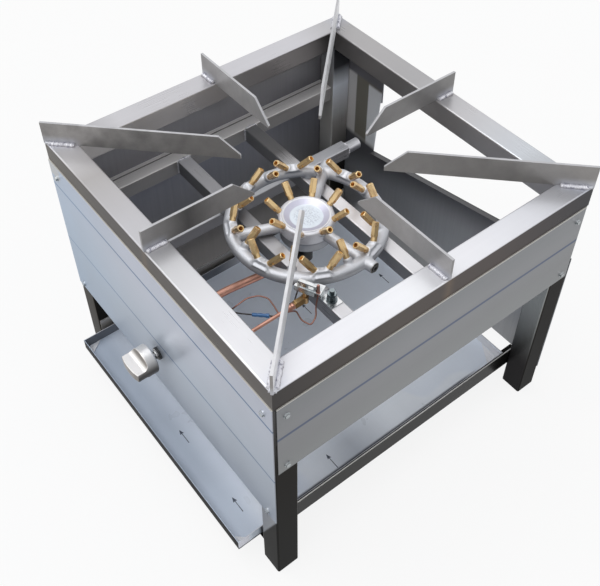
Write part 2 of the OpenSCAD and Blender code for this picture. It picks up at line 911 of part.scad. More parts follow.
// Ring of the casting with its webs, pads and bosses, grown all over by a gap
module ring_form(gap = 0) {
    translate([0, 0, ring_z]) rotate_extrude() translate([ring_r, 0]) circle(ring_tube_r + gap);
    pair_webs(gap);
    at_pads() cylinder(r = pad_r + gap, h = pad_h);
    for (i = [1:jet_groups]) at_group(i) cylinder(r = boss_r + gap, h = jet_seat + gap);
}

module burner_ring() {
    color(CAST) at_burner() difference() {
        union() {
            ring_form();
            at_plugs() cylinder(r = plug_boss_r, h = plug_boss_len);
        }
        at_pads() translate([0, 0, -cut])
            cylinder(d = bolt_d + bolt_gap, h = bolt_reach + 2 * cut);
        at_plugs() translate([0, 0, plug_boss_len - pipe_plug_in])
            cylinder(d = pipe_plug_d + 2 * pipe_plug_gap, h = pipe_plug_in + cut);
    }
}

// Hub of the casting with its spokes, which meet the ring over a hairline
module burner_hub() {
    color(CAST) at_burner() difference() {
        union() {
            hub_body();
            at_spokes() translate([drum_r - spoke_root, 0, spoke_z]) rotate([0, 90, 0])
                cylinder(r = spoke_r, h = ring_r - drum_r + spoke_root);
            at_hub_jets() translate([0, 0, -hub_boss_len]) cylinder(r = boss_r, h = hub_boss_len);
        }
        translate([0, 0, seat_z]) cylinder(r = cap_r + cap_gap, h = cap_seat + boss_r);
        ring_form(casting_gap);
    }
}

// Round cap with a raised rim round a plain dish
module burner_cap() {
    rim = hub_top + cap_rise;
    floor_z = rim - dish_depth;
    color(CAST) at_burner() rotate_extrude() polygon([
        [0, seat_z],
        [cap_r, seat_z],
        [cap_r, rim - hub_chamfer],
        [cap_r - hub_chamfer, rim],
        [dish_r + hub_chamfer, rim],
        [dish_r, rim - hub_chamfer],
        [dish_r, floor_z],
        [0, floor_z]
    ]);
}

module ring_plugs() {
    color(BLACK) at_burner() at_plugs() translate([0, 0, plug_boss_len - pipe_plug_in])
        difference() {
            cylinder(d = pipe_plug_d, h = pipe_plug_in + pipe_plug_out);
            translate([0, 0, pipe_plug_in / 2]) hexagon(pipe_plug_af, pipe_plug_in + pipe_plug_out);
        }
}

module burner_bolts() {
    color(ZINC) at_burner() at_pads() translate([0, 0, -rest_h]) {
        cylinder(d = bolt_d, h = bolt_len);
        mirror([0, 0, 1]) hexagon(bolt_af, bolt_head);
    }
}

// Brass jet that stands on z = 0: round base, hexagon body and a wide mixing bore
module jet() {
    cone = 5 * jet_af / cos(30);
    difference() {
        union() {
            cylinder(d = jet_base_d, h = jet_base_h);
            intersection() {
                translate([0, 0, jet_base_h]) hexagon(jet_af, jet_len - jet_base_h);
                translate([0, 0, jet_len - cone])
                    cylinder(r1 = cone, r2 = jet_af / 2 - mouth_edge, h = cone);
            }
        }
        translate([0, 0, jet_len - jet_bore_depth])
            cylinder(d = jet_bore_d, h = jet_bore_depth + cut);
        translate([0, 0, air_hole_z]) rotate([90, 0, 0])
            cylinder(d = air_hole_d, h = 2 * jet_af, center = true);
    }
}

module hub_jets() {
    color(BRASS) at_burner() at_hub_jets() jet();
}

module ring_jets(i) {
    color(BRASS) at_burner() at_group(i) translate([0, 0, jet_seat]) jet();
}

// Square bar along Y with round long edges
module tube_solid(len, w) {
    translate([0, len, 0]) rotate([90, 0, 0]) linear_extrude(len) round_rect(w, w, rest_r);
}

// Square tube with closed ends under the cross bars, bored for the inlet
// nipple behind and the link pipe in front
module gas_manifold() {
    run = manifold_rear - manifold_front;
    through = manifold_wall + 2 * cut;
    color(STEEL) translate([manifold_x, manifold_front, manifold_z]) difference() {
        tube_solid(run, manifold_w);
        translate([0, manifold_wall, 0])
            tube_solid(run - 2 * manifold_wall, manifold_w - 2 * manifold_wall);
        translate([0, run + cut, 0]) rotate([90, 0, 0]) cylinder(d = nipple_bore, h = through);
        translate([0, manifold_wall + cut, 0]) rotate([90, 0, 0])
            cylinder(d = link_bore, h = through);
    }
}

module inlet_nipple() {
    color(STEEL) translate([manifold_x, manifold_rear + nipple_len, manifold_z]) rotate([90, 0, 0])
        difference() {
            cylinder(d = nipple_d, h = nipple_len);
            translate([0, 0, -cut]) cylinder(d = nipple_bore, h = nipple_len + 2 * cut);
        }
}

module valve_link_pipe() {
    color(COPPER) pipe_run(link_route, link_d / 2, link_blend, pipe_sides);
}

module feed_pipe() {
    color(COPPER) pipe_run(feed_route, feed_d / 2, feed_blend, pipe_sides);
}

// Black fitting that turns the feed up into the hub
module burner_elbow() {
    color(BLACK) translate([0, burner_y, elbow_z]) {
        translate([0, 0, -elbow_foot]) cylinder(r = elbow_r, h = drum_low - elbow_z + elbow_foot);
        rotate([90, 0, 0]) cylinder(r = elbow_branch_r, h = elbow_reach);
        translate([0, -elbow_reach, 0]) rotate([90, 0, 0]) difference() {
            hexagon(elbow_af, elbow_nut);
            cylinder(d = feed_d + feed_gap, h = elbow_nut + cut);
        }
    }
}

// Puts its child on the valve's axis at a given y, with +z toward the front
module on_valve(y) {
    translate([valve_x, y, valve_z]) rotate([90, 0, 0]) children();
}

// Tap body behind the front sheet: inlet on the left, feed outlet on top
module gas_valve() {
    color(BRASS) difference() {
        union() {
            on_valve(barrel_rear) cylinder(d = valve_d, h = valve_len);
            on_valve(barrel_front) cylinder(d = collar_d, h = valve_back + panel_t);
            on_valve(magnet_end) cylinder(d = magnet_d, h = magnet_end - barrel_rear);
            translate([valve_x, port_y, valve_z]) cylinder(r = port_r, h = port_h);
            translate([valve_x, link_y, valve_z]) rotate([0, -90, 0])
                cylinder(r = port_r, h = inlet_reach);
            translate([valve_x, pilot_port_y, valve_z]) rotate([0, 90, 0])
                cylinder(r = pilot_port_r, h = pilot_reach);
            translate([terminal_x, terminal_y, valve_z])
                cylinder(d = terminal_d, h = terminal_top - valve_z);
        }
        on_valve(chamber_end)
            cylinder(d = plunger_d + spindle_fit, h = chamber_end - chamber_front);
        on_valve(plunger_front) cylinder(d = spindle_d + spindle_fit, h = half);
    }
}

// Round slide in the valve that the spindle turns in and pushes
module valve_plunger() {
    color(BRASS) on_valve(plunger_front + plunger_len) difference() {
        cylinder(d = plunger_d, h = plunger_len);
        translate([0, 0, plunger_len - spigot_len - spigot_play])
            cylinder(d = spigot_d + spindle_fit, h = spigot_len + spigot_play + cut);
    }
}

// Stepped spindle from the plunger's bore to the knob's
module valve_spindle() {
    color(STEEL) {
        on_valve(spindle_rear)
            cylinder(d = spindle_d, h = spindle_rear - knob_back + knob_bore - knob_play);
        on_valve(plunger_front + spigot_len)
            cylinder(d = spigot_d, h = spigot_len + step_gap);
    }
}

// Dark ring that covers the collar's hole in the front sheet
module shaft_seal() {
    color(BLACK) on_valve(sheet_face) difference() {
        cylinder(d = seal_d, h = seal_t);
        translate([0, 0, -cut]) cylinder(d = spindle_d + seal_gap, h = seal_t + 2 * cut);
    }
}

// Satin knob: a round body and a straight grip with a crowned front, blended by
// a hollow fillet on each side of the grip
module knob() {
    depth = knob_body + grip_reach;
    clear = knob_r * 2;
    color(STEEL) on_valve(knob_back) difference() {
        rotate_extrude() polygon([
            [0, 0],
            [knob_r - knob_edge, 0],
            [knob_r, knob_edge],
            [knob_r, depth - grip_crown],
            [knob_r * 0.62, depth - grip_crown * 0.35],
            [0, depth]
        ]);
        for (side = [0, 1]) mirror([0, side, 0]) {
            translate([-clear, grip_w / 2 + grip_fillet, knob_body])
                cube([2 * clear, clear, grip_reach + cut]);
            translate([-clear, grip_w / 2, knob_body + grip_fillet])
                cube([2 * clear, clear, grip_reach + cut]);
            translate([-clear, grip_w / 2 + grip_fillet, knob_body + grip_fillet]) rotate([0, 90, 0])
                cylinder(r = grip_fillet, h = 2 * clear);
        }
        translate([0, 0, -cut]) cylinder(d = spindle_d + knob_fit, h = knob_bore + cut);
    }
}

// Puts its child at the pilot bracket's front corner, turned with it
module at_pilot() {
    translate([pilot_x, pilot_y, rest_z]) rotate([0, 0, pilot_turn]) children();
}

// Zinc plated bracket: a foot on the cross bar, a web up to a shelf clear of
// the ring, a folded lip in front of the shelf and a hood over the flame
module pilot_bracket() {
    color(ZINC) {
        difference() {
            translate([stud_place.x - foot_set, front_cross_y - rest_w / 2, rest_z])
                cube([foot_w, rest_w - rest_r, bracket_t]);
            translate([stud_place.x, stud_place.y, rest_z - cut])
                cylinder(d = stud_d + stud_gap, h = bracket_t + 2 * cut);
        }
        at_pilot() {
            difference() {
                translate([0, 0, shelf_rise]) linear_extrude(bracket_t) polygon(concat(
                    [[-shelf_reach, -bracket_t], [shelf_reach, -bracket_t]], shelf_rear
                ));
                translate([pilot_riser.x, pilot_riser.y, shelf_rise - cut])
                    cylinder(d = riser_d + stud_gap, h = bracket_t + 2 * cut);
                translate([tip_place.x, tip_place.y, shelf_rise - cut])
                    cylinder(d = tip_d + stud_gap, h = bracket_t + 2 * cut);
            }
            translate([-shelf_reach, -bracket_t, shelf_rise - lip_h])
                cube([lip_w, bracket_t, lip_h]);
            translate([web_place.x, web_place.y, bracket_t])
                cube([bracket_t, web_w, shelf_rise - bracket_t]);
            translate([hood_place.x, hood_place.y, shelf_rise + bracket_t]) pilot_hood();
        }
    }
}

// Small open box over the flame, with two windows in front
module pilot_hood() {
    margin = (hood_w - 2 * hood_window_w) / 3;
    difference() {
        cube([hood_w, hood_d, hood_h]);
        translate([hood_t, hood_t, -cut])
            cube([hood_w - 2 * hood_t, hood_d + cut, hood_h - hood_t + cut]);
        for (x = [margin, 2 * margin + hood_window_w]) translate([x, -cut, hood_window_edge])
            cube([hood_window_w, hood_t + 2 * cut, hood_h - 2 * hood_window_edge]);
    }
}

// Brass pilot: an elbow block with a nut for its pipe and a riser to the flame
module pilot_burner() {
    color(BRASS) {
        at_pilot() translate([pilot_riser.x, pilot_riser.y, -pilot_drop]) {
            translate([0, 0, -pilot_block_d / 2]) cylinder(d = pilot_block_d, h = pilot_block_d);
            cylinder(d = riser_d, h = pilot_drop + shelf_rise + riser_above);
        }
        translate([pilot_feed.x, pilot_nut_y, pilot_feed.z]) rotate([90, 0, 0]) {
            hexagon(pilot_nut_af, pilot_nut_len);
            cylinder(d = pilot_tail_d, h = pilot_tail_len);
        }
    }
}

// Stud, washer and two nuts that clamp the bracket to the cross bar
module pilot_stud() {
    color(ZINC) translate([stud_place.x, stud_place.y, rest_z + bracket_t]) {
        cylinder(d = stud_d, h = stud_top);
        cylinder(r = washer_r, h = washer_t);
        for (k = [0, 1]) translate([0, 0, washer_t + k * (nut_h + nut_gap)]) hexagon(stud_af, nut_h);
    }
}

module pilot_pipe() {
    color(COPPER) pipe_run(pilot_route, pilot_d / 2, pilot_blend, pipe_sides);
}

// Steel tip beside the flame and the capillary that runs back to the valve
module thermocouple() {
    color(COPPER) {
        at_pilot() translate([tip_place.x, tip_place.y, shelf_rise - tip_below])
            cylinder(d = tip_d, h = tip_len);
        pipe_run(capillary_route, capillary_d / 2, lead_blend, lead_sides);
    }
}

// Black ignition lead, in two stretches with the crimped joint between them
module ignition_lead() {
    color(BLACK) {
        pipe_run(lead_start, lead_d / 2, lead_blend, lead_sides);
        pipe_run(lead_end, lead_d / 2, lead_blend, lead_sides);
    }
}

module lead_crimp() {
    a = lead_start[len(lead_start) - 1];
    b = lead_end[0];
    color([0.25, 0.45, 0.72]) rod(a, b, crimp_d / 2);
}

for (i = [0:3]) {
    leg(i);
    top_rail(i);
    side_pot_bar(i);
    corner_pot_bar(i);
    panel(i);
}
leg_plugs();
panel_screws();
side_rail(-1);  // side_rail_left
side_rail(1);  // side_rail_right
cross_bar(front_cross_y);  // cross_bar_front
cross_bar(rear_cross_y);  // cross_bar_rear
runner(-1);  // runner_left
runner(1);  // runner_right
tray();
burner_ring();
burner_hub();
burner_cap();
ring_plugs();
burner_bolts();
hub_jets();
for (i = [1:jet_groups])
    ring_jets(i);
gas_manifold();
inlet_nipple();
valve_link_pipe();
feed_pipe();
burner_elbow();
gas_valve();
valve_plunger();
valve_spindle();
knob();
shaft_seal();
pilot_bracket();
pilot_burner();
pilot_stud();
pilot_pipe();
thermocouple();
ignition_lead();
lead_crimp();
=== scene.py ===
"""Looks of the stock pot stove: finishes for its steel frame, sheets and burner, and
the rounded, welded and printed pieces that the solids only outline."""
import math

import bmesh
import bpy
from mathutils import Matrix, Vector, noise


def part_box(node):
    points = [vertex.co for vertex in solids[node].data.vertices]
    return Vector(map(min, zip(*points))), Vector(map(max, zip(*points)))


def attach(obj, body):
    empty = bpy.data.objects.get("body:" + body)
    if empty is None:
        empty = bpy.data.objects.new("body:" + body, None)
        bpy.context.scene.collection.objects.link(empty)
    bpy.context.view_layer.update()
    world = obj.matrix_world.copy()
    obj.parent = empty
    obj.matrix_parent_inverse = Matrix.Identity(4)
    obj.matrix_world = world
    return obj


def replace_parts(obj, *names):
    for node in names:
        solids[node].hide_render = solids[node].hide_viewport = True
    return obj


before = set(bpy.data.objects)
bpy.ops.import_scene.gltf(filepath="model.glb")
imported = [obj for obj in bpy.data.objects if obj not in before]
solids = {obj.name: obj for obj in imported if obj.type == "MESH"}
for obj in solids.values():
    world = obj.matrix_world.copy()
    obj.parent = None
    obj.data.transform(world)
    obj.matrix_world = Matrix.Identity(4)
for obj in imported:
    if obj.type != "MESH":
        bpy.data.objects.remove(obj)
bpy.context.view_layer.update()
MM = 0.001
noise.seed_set(1)  # the weld beads then wander the same way in each run

# Places and sizes of the stove, in millimetres
HALF = 300
TUBE = 40
RAIL_TOP = 500
BAR_T = 4
BAR_BEAD = 3.5
BEAD_STEP = 0.45
BEAD_RIPPLE = 2.3
CROSS_TOP = 370
CROSS_LOW = 340
CROSS_END = 266.1
CROSS_W = 25
FRONT_CROSS_Y = -76.5
REAR_CROSS_Y = 68.5
BURNER = Vector((0, -10, 0))
RING_R = 124
RING_Z = 381
HUB_TOP = 395
SPOKE_TURN = 8
SPOKE_STEP = 120
PLUG_REACH = 22
JET_TILT = 43
PAIR_TURN = 114
PAIR_START = 18.1
INWARD_START = -4.4
JET_STEP = 45
JET_SEAT = 18.3
HUB_JET_R = 44.7
JET_BORE_FLOOR = 7
NIB_TURN = 171
TRAY_FLOOR = 51.3
FILM_T = 0.2
SHEET_FACE = -301.5
SHAFT = Vector((-8, SHEET_FACE, 259))
MANIFOLD_X = -147.5
MANIFOLD_Z = 327.5
MANIFOLD_BACK = 197
NIPPLE_R = 10.65
ARROW_L = 31.8
ROW_GAP = 172
ARROW_GAP = 160.7
UP = Vector((0, 0, 1))

# The same in metres, for the finishes
SPAN = HALF * MM
INSIDE = (HALF - TUBE) * MM
LEG_TOP = (RAIL_TOP - TUBE) * MM
TRAY_RIM = 0.074
WINDOW_SILL = 0.2826
WINDOW_SLOPE = 0.1946
WINDOW_MARGIN = -0.1655

# Dull steel doesn't flare to white where it is seen at a slant
DULL_EDGE = (0.4, 0.4, 0.4, 1)


def tone(red, green, blue):
    """Linear colour of a tone as a screen shows it, each part from 0 to 255."""
    def linear(level):
        share = level / 255
        return share / 12.92 if share <= 0.04045 else ((share + 0.055) / 1.055) ** 2.4
    return linear(red), linear(green), linear(blue), 1


def as_colour(value):
    """Three screen tones as a linear colour, and anything else as it is."""
    return tone(*value) if isinstance(value, tuple) and len(value) == 3 else value


class Amount:
    """A number or colour that changes over a surface. Maths on it adds Math nodes."""

    def __init__(self, finish, socket):
        self.finish = finish
        self.socket = socket

    def maths(self, operation, *terms):
        return self.finish.add("Math", {"operation": operation}, dict(enumerate(terms)))

    def __add__(self, other):
        return self.maths("ADD", self, other)

    __radd__ = __add__

    def __sub__(self, other):
        return self.maths("SUBTRACT", self, other)

    def __rsub__(self, other):
        return self.maths("SUBTRACT", other, self)

    def __mul__(self, other):
        return self.maths("MULTIPLY", self, other)

    __rmul__ = __mul__

    def __abs__(self):
        return self.maths("ABSOLUTE", self)

    def most(self, other):
        return self.maths("MAXIMUM", self, other)

    def past(self, edge, soft):
        """0 below an edge and 1 above it, over a soft band on both sides."""
        return self.finish.add(
            "MapRange",
            {"interpolation_type": "SMOOTHSTEP"},
            {0: self, 1: edge - soft, 2: edge + soft, 3: 0, 4: 1},
        )

    def before(self, edge, soft):
        """1 below an edge and 0 above it."""
        return 1 - self.past(edge, soft)

    def near(self, middle, reach, soft):
        """1 within a reach of a middle value and 0 beyond it."""
        return abs(self - middle).before(reach, soft)


class Finish:
    """A material, with what its surface looks like written as sums of places and streaks."""

    def __init__(self, name, **fixed):
        self.material = bpy.data.materials.new(name)
        self.material.use_nodes = True
        self.tree = self.material.node_tree
        self.shader = self.tree.nodes["Principled BSDF"]
        for label, value in fixed.items():
            label = label.replace("_", " ").title().replace("Ior", "IOR")
            self.shader.inputs[label].default_value = value
        self.where = self.add("TexCoord", {}, {}, "Object")
        self.x, self.y, self.z = self.parts(self.where)

    def add(self, kind, settings, inputs, output=0):
        """Adds a node: its settings first, then the values or links of its sockets."""
        node = self.tree.nodes.new("ShaderNode" + kind)
        for setting, value in settings.items():
            setattr(node, setting, value)
        for label, value in inputs.items():
            self.feed(node.inputs[label], value)
        return Amount(self, node.outputs[output])

    def feed(self, socket, value):
        if isinstance(value, Amount):
            self.tree.links.new(value.socket, socket)
        else:
            socket.default_value = value

    def parts(self, vector):
        node = self.tree.nodes.new("ShaderNodeSeparateXYZ")
        self.feed(node.inputs[0], vector)
        return [Amount(self, node.outputs[axis]) for axis in range(3)]

    def facing(self):
        """The three parts of the direction in which the surface faces."""
        return self.parts(self.add("NewGeometry", {}, {}, "Normal"))

    def upward(self, edge, soft):
        """1 where the surface faces up, past an edge."""
        return self.facing()[2].past(edge, soft)

    def from_burner(self):
        """The distance from the burner's axis."""
        x, y = self.x - BURNER.x * MM, self.y - BURNER.y * MM
        return self.add("Math", {"operation": "SQRT"}, {0: x * x + y * y})

    def cloud(self, size, detail=2):
        """Soft patches of a size in metres, about 0.5."""
        sizes = {"Vector": self.where, "Scale": 1 / size, "Detail": detail}
        return self.add("TexNoise", {}, sizes)

    def grain(self, axis, length, width, detail=2):
        """Streaks of a length along one axis and a width across it, about 0.5."""
        squeeze = [1 / width] * 3
        squeeze["xyz".index(axis)] = 1 / length
        spread = self.add("VectorMath", {"operation": "MULTIPLY"}, {0: self.where, 1: squeeze})
        return self.add("TexNoise", {}, {"Vector": spread, "Scale": 1, "Detail": detail})

    def tint(self, mask, below, above):
        """One colour where a mask is 0 and another where it is 1."""
        ends = {0: mask, 6: as_colour(below), 7: as_colour(above)}
        return self.add("Mix", {"data_type": "RGBA"}, ends, 2)

    def shade(self, colour, level):
        """A colour made darker or paler by a level."""
        start = colour if isinstance(colour, Amount) else tone(*colour)[:3]
        return self.add("VectorMath", {"operation": "SCALE"}, {0: start, "Scale": level})

    def run(self, amount, low, high, tones):
        """Tones spread evenly over a range of an amount."""
        share = self.add("MapRange", {}, {0: amount, 1: low, 2: high, 3: 0, 4: 1})
        colours = self.add("ValToRGB", {}, {0: share})
        stops = colours.socket.node.color_ramp.elements
        while len(stops) < len(tones):
            stops.new(0.5)
        for step, (stop, one) in enumerate(zip(stops, tones)):
            stop.position = step / (len(tones) - 1)
            stop.color = tone(*one)
        return colours

    def paint(self, colour, roughness=None, metallic=None):
        """Feeds the shader and hands over the finished material."""
        self.feed(self.shader.inputs["Base Color"], colour)
        if roughness is not None:
            self.feed(self.shader.inputs["Roughness"], roughness)
        if metallic is not None:
            self.feed(self.shader.inputs["Metallic"], metallic)
        return self.material

    def relief(self, height, depth):
        """Raises the surface by a height of 0 to 1 times a depth in metres."""
        bump = self.add("Bump", {}, {"Height": height, "Distance": depth, "Strength": 1})
        self.feed(self.shader.inputs["Normal"], bump)


class SideFinish(Finish):
    """A finish for one side of the frame: what runs along it and across it, and how far
    a surface faces out and up."""

    def __init__(self, name, side, **fixed):
        super().__init__(name, specular_tint=DULL_EDGE, **fixed)
        nx, ny, self.up = self.facing()
        sign = 1 if side in ("rear", "right") else -1
        if side in ("front", "rear"):
            self.axis, self.along, self.across, self.out = "x", self.x, self.y, ny * sign
        else:
            self.axis, self.along, self.across, self.out = "y", self.y, self.x, nx * sign


def brushed(finish, colour, axis, strength=0.6, roughness=0.3, metallic=None):
    """Brushed stainless steel of a colour, with its grain along an axis."""
    fine = finish.grain(axis, 0.7, 0.0008, 1)
    broad = finish.grain(axis, 0.8, 0.014)
    smudge = finish.cloud(0.09, 3)
    level = 1 + strength * (0.07 * (fine - 0.5) + 0.14 * (broad - 0.5) + 0.2 * (smudge - 0.5))
    rough = roughness + 0.06 * (fine - 0.5) + 0.14 * (smudge - 0.5)
    finish.relief(fine, 0.00001)
    return finish.paint(finish.shade(colour, level), rough, metallic)


def rail_steel(side, top_run, side_run, inner_run):
    """A top rail, painted bright above as light, with olive sides painted dark as shade. The runs
    go along the tube.
    """
    finish = SideFinish("rail_steel_" + side, side, metallic=0.6)
    top, outer, inner = (finish.run(finish.along, -SPAN, SPAN, run)
                         for run in (top_run, side_run, inner_run))
    # Painted light on the top faces and painted shade on the sides
    above = finish.up.past(0.6, 0.25)
    sides = finish.tint(finish.out.past(0, 0.3), inner, outer)
    colour = finish.tint(above, sides, top)
    # Heat tint round the foot of the bar in the middle of the rail
    inner_edge = abs(finish.across).past(INSIDE + 0.002, 0.004)
    heat = finish.along.near(0, 0.004, 0.012) * inner_edge
    colour = finish.tint(0.35 * heat, colour, (150, 128, 104))
    # A bluish haze of heat round the corner bars' welds
    haze = abs(finish.along).past(0.275, 0.022) * above
    colour = finish.tint(0.3 * haze, colour, (204, 212, 234))
    return brushed(finish, colour, finish.axis, 0.45)


def leg_steel():
    """Olive tube, its faces painted dark as shade; the rear legs are painted paler above as
    light, the left one of them also inside.
    """
    finish = Finish("leg_steel", specular_tint=(0.1, 0.1, 0.1, 1), specular_ior_level=0.1)
    sideways = abs(finish.facing()[0]).past(0.6, 0.2)
    rear, right = finish.y.past(0, 0.1), finish.x.past(0, 0.1)
    # Painted shade: the faces turned to the front darken toward the right, most on the rear right
    # leg
    front = finish.run(finish.x, -SPAN, SPAN, [(94, 90, 85), (66, 64, 59), (24, 23, 22)])
    front = finish.tint(rear * right, front, (50, 49, 50))
    # Painted light on the upper front faces of the rear legs
    front = finish.tint(0.8 * finish.z.past(0.17, 0.1) * rear, front, (172, 175, 174))
    # Painted shade: the sides darken toward the floor
    side = finish.run(finish.z, 0, LEG_TOP, [
        (30, 30, 28), (40, 38, 35), (48, 45, 42), (90, 90, 90)])
    # A painted reflection of the tray's floor in the face that the front right leg turns to it
    above = (finish.z - TRAY_RIM - 2.4 * (finish.x - INSIDE)).past(0, 0.006)
    mirrored = above * finish.x.past(0.25, 0.001) * finish.y.before(-0.29, 0.001)
    front = finish.tint(0.9 * mirrored, front, (196, 199, 205))
    colour = finish.tint(sideways, front, side)
    # The rear left leg stands in the light that the stove's inside throws back
    within = finish.x.before(0, 0.1) * rear * finish.z.past(0.24, 0.1)
    lit = finish.run(finish.z, 0.2, LEG_TOP, [
        (214, 210, 204), (196, 192, 186), (160, 157, 152), (150, 149, 150), (150, 152, 157)])
    shaded = finish.run(finish.z, 0.2, LEG_TOP, [
        (170, 167, 162), (164, 161, 157), (156, 154, 151), (184, 185, 189), (216, 221, 229),
        (60, 60, 64), (34, 34, 37)])
    colour = finish.tint(within, colour, finish.tint(sideways, lit, shaded))
    return brushed(finish, colour, "z", metallic=0.6 - 0.55 * within)


def bar_steel():
    """Flat bar cut from plate, mottled, with painted light: bright on its top edge and on the
    faces turned to the light, duller on its other faces as painted shade.
    """
    finish = Finish("bar_steel", specular_tint=DULL_EDGE)
    nx, ny, nz = finish.facing()
    mottle = finish.cloud(0.022, 5)
    speck = finish.cloud(0.003, 2)
    from_middle = abs(finish.x).most(abs(finish.y))
    over_pan = from_middle.before(0.25, 0.04)
    turned, across = ny.past(-0.85, 0.1), nx.past(0.85, 0.1)
    # Painted light and shade: each face's tone follows the way it turns, paler over the pan
    dull = finish.tint(turned, (160, 158, 158), (152, 149, 147))
    dull = finish.tint(across, dull, (120, 117, 115))
    deep = finish.tint(turned, (206, 204, 204), (168, 165, 163))
    deep = finish.tint(across, deep, (128, 125, 124))
    # Painted light: faces turned toward the light are nearly white
    sunny = (nx + ny).past(1.1, 0.2)
    faces = finish.tint(sunny, finish.tint(over_pan, dull, deep), (250, 250, 252))
    # Painted light: the top edges are paler near the front right corner
    near_corner = finish.x.past(0.05, 0.05) * (0 - finish.y).past(0.05, 0.05)
    edge = finish.tint(near_corner, (200, 200, 203), (232, 232, 235))
    colour = finish.tint(nz.past(0.5, 0.2), faces, edge)
    # Ground bright above their welds
    ground = from_middle.past(0.263, 0.008) * finish.z.before(0.511, 0.007)
    colour = finish.tint(0.4 * ground, colour, (224, 228, 240))
    # The front left bar still has the dark mill scale of its plate in patches
    scaled = finish.x.before(-0.12, 0.06) * finish.y.before(-0.12, 0.06)
    level = 0.92 + (0.34 + 0.5 * scaled) * (mottle - 0.46) + 0.1 * (speck - 0.5)
    # Painted shade darkens the front bar's broad face in its middle, and it stays lit at its weld
    broad = across * abs(finish.x).before(0.03, 0.01) * finish.y.before(-0.1, 0.02)
    level = level * (1 - 0.85 * broad * finish.y.near(-0.225, 0.025, 0.05))
    finish.relief(mottle + 0.4 * speck, 0.0001)
    colour = finish.shade(colour, level)
    return finish.paint(colour, 0.36 + 0.2 * (mottle - 0.5), 0.35 - 0.3 * sunny)


def left_inside(finish, inner):
    """Painted shade: the left sheet's inner face darkens toward the back."""
    return finish.shade(inner, 1 - 0.35 * finish.y.past(0.16, 0.1))


def rear_inside(finish, inner):
    """The rear sheet's inner face, in painted light and shade: painted shade under the window's
    lip and toward the left, and beside the window a paler margin with a painted olive reflection
    of the leg, a painted highlight at its edge and painted shade above."""
    over_lip = finish.z - WINDOW_SILL - WINDOW_SLOPE * finish.x
    inner = finish.tint(0.75 * over_lip.past(-0.04, 0.035), inner, (84, 84, 90))
    inner = finish.shade(inner, 0.62 + 0.38 * finish.x.past(0.0, 0.12))
    margin = finish.x.before(WINDOW_MARGIN, 0.001)
    upright = margin * finish.z.past(0.256, 0.008)
    inner = finish.tint(upright, inner, (214, 211, 209))
    inner = finish.tint(upright * finish.x.past(-0.237, 0.0015), inner, (132, 128, 118))
    strip = upright * finish.x.past(-0.203, 0.0015) * finish.z.before(0.396, 0.004)
    inner = finish.tint(0.9 * strip, inner, (250, 252, 255))
    return finish.tint(margin * finish.z.past(0.4, 0.004), inner, (120, 118, 122))


def front_film(finish, colour, outside):
    """The front sheet's film: bluer toward the left, and torn back to pale shreds round
    one of the screws."""
    colour = finish.tint(0.4 * finish.x.before(-0.16, 0.14), colour, (176, 204, 232))
    tear = finish.grain("x", 0.012, 0.005, 3)
    torn = (finish.x + 0.02 * tear).before(-0.258, 0.003)
    torn = torn * (finish.z + 0.014 * tear).past(0.445, 0.002)
    return finish.tint(0.8 * torn * outside, colour, (214, 214, 212))


def filmed_sheet(side, film, bare, lines, ink=(72, 112, 156), metallic=0.2, inside=None,
                 outer=None, painted_edge=(232, 229, 222)):
    """A side sheet: bluish protective film outside and bare steel inside, both with tones by
    height that hold painted light and shade. The lines are drawn along the film, each with a
    height, half a width and a strength."""
    name = "panel_" + side
    finish = SideFinish(name, side, metallic=metallic)
    outside = finish.out.past(0, 0.3)
    drift = finish.grain(finish.axis, 0.4, 0.12)
    low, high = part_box(name)
    coat = finish.run(finish.z + 0.05 * (drift - 0.5), low.z, high.z, film)
    for height, width, strength in lines:
        line = strength * finish.z.near(height, width, 0.0008)
        coat = finish.tint(line, coat, ink)
    inner = finish.run(finish.z + 0.03 * (drift - 0.5), low.z, high.z, bare)
    inner = finish.shade(inner, 0.9 + 0.2 * finish.grain("z", 0.2, 0.006))
    if inside:
        inner = inside(finish, inner)
    colour = finish.tint(outside, inner, coat)
    if outer:
        colour = outer(finish, colour, outside)
    # The top edges and a thin line along the outer face's top carry the edge tone: bare cut steel
    # with a painted highlight, and painted shade on the rear sheet
    upper_edge = 0.8 * finish.z.past(high.z - 0.0018, 0.0008) * outside
    edge = finish.up.past(0.7, 0.2).most(upper_edge)
    colour = finish.tint(edge, colour, painted_edge)
    # Painted shade: the sheets darken a little toward the corner that both of the dressed ones
    # share
    shared = finish.x.past(0.16, 0.22) if finish.axis == "x" else finish.y.before(-0.2, 0.16)
    fine = finish.grain(finish.axis, 0.7, 0.001, 1)
    smudge = finish.cloud(0.07, 3)
    level = 1 + 0.04 * (fine - 0.5) + 0.1 * (smudge - 0.5) - 0.16 * shared * outside
    finish.relief(smudge + 0.04 * fine, 0.0004)
    return finish.paint(finish.shade(colour, level), 0.32 + 0.15 * (smudge - 0.5))


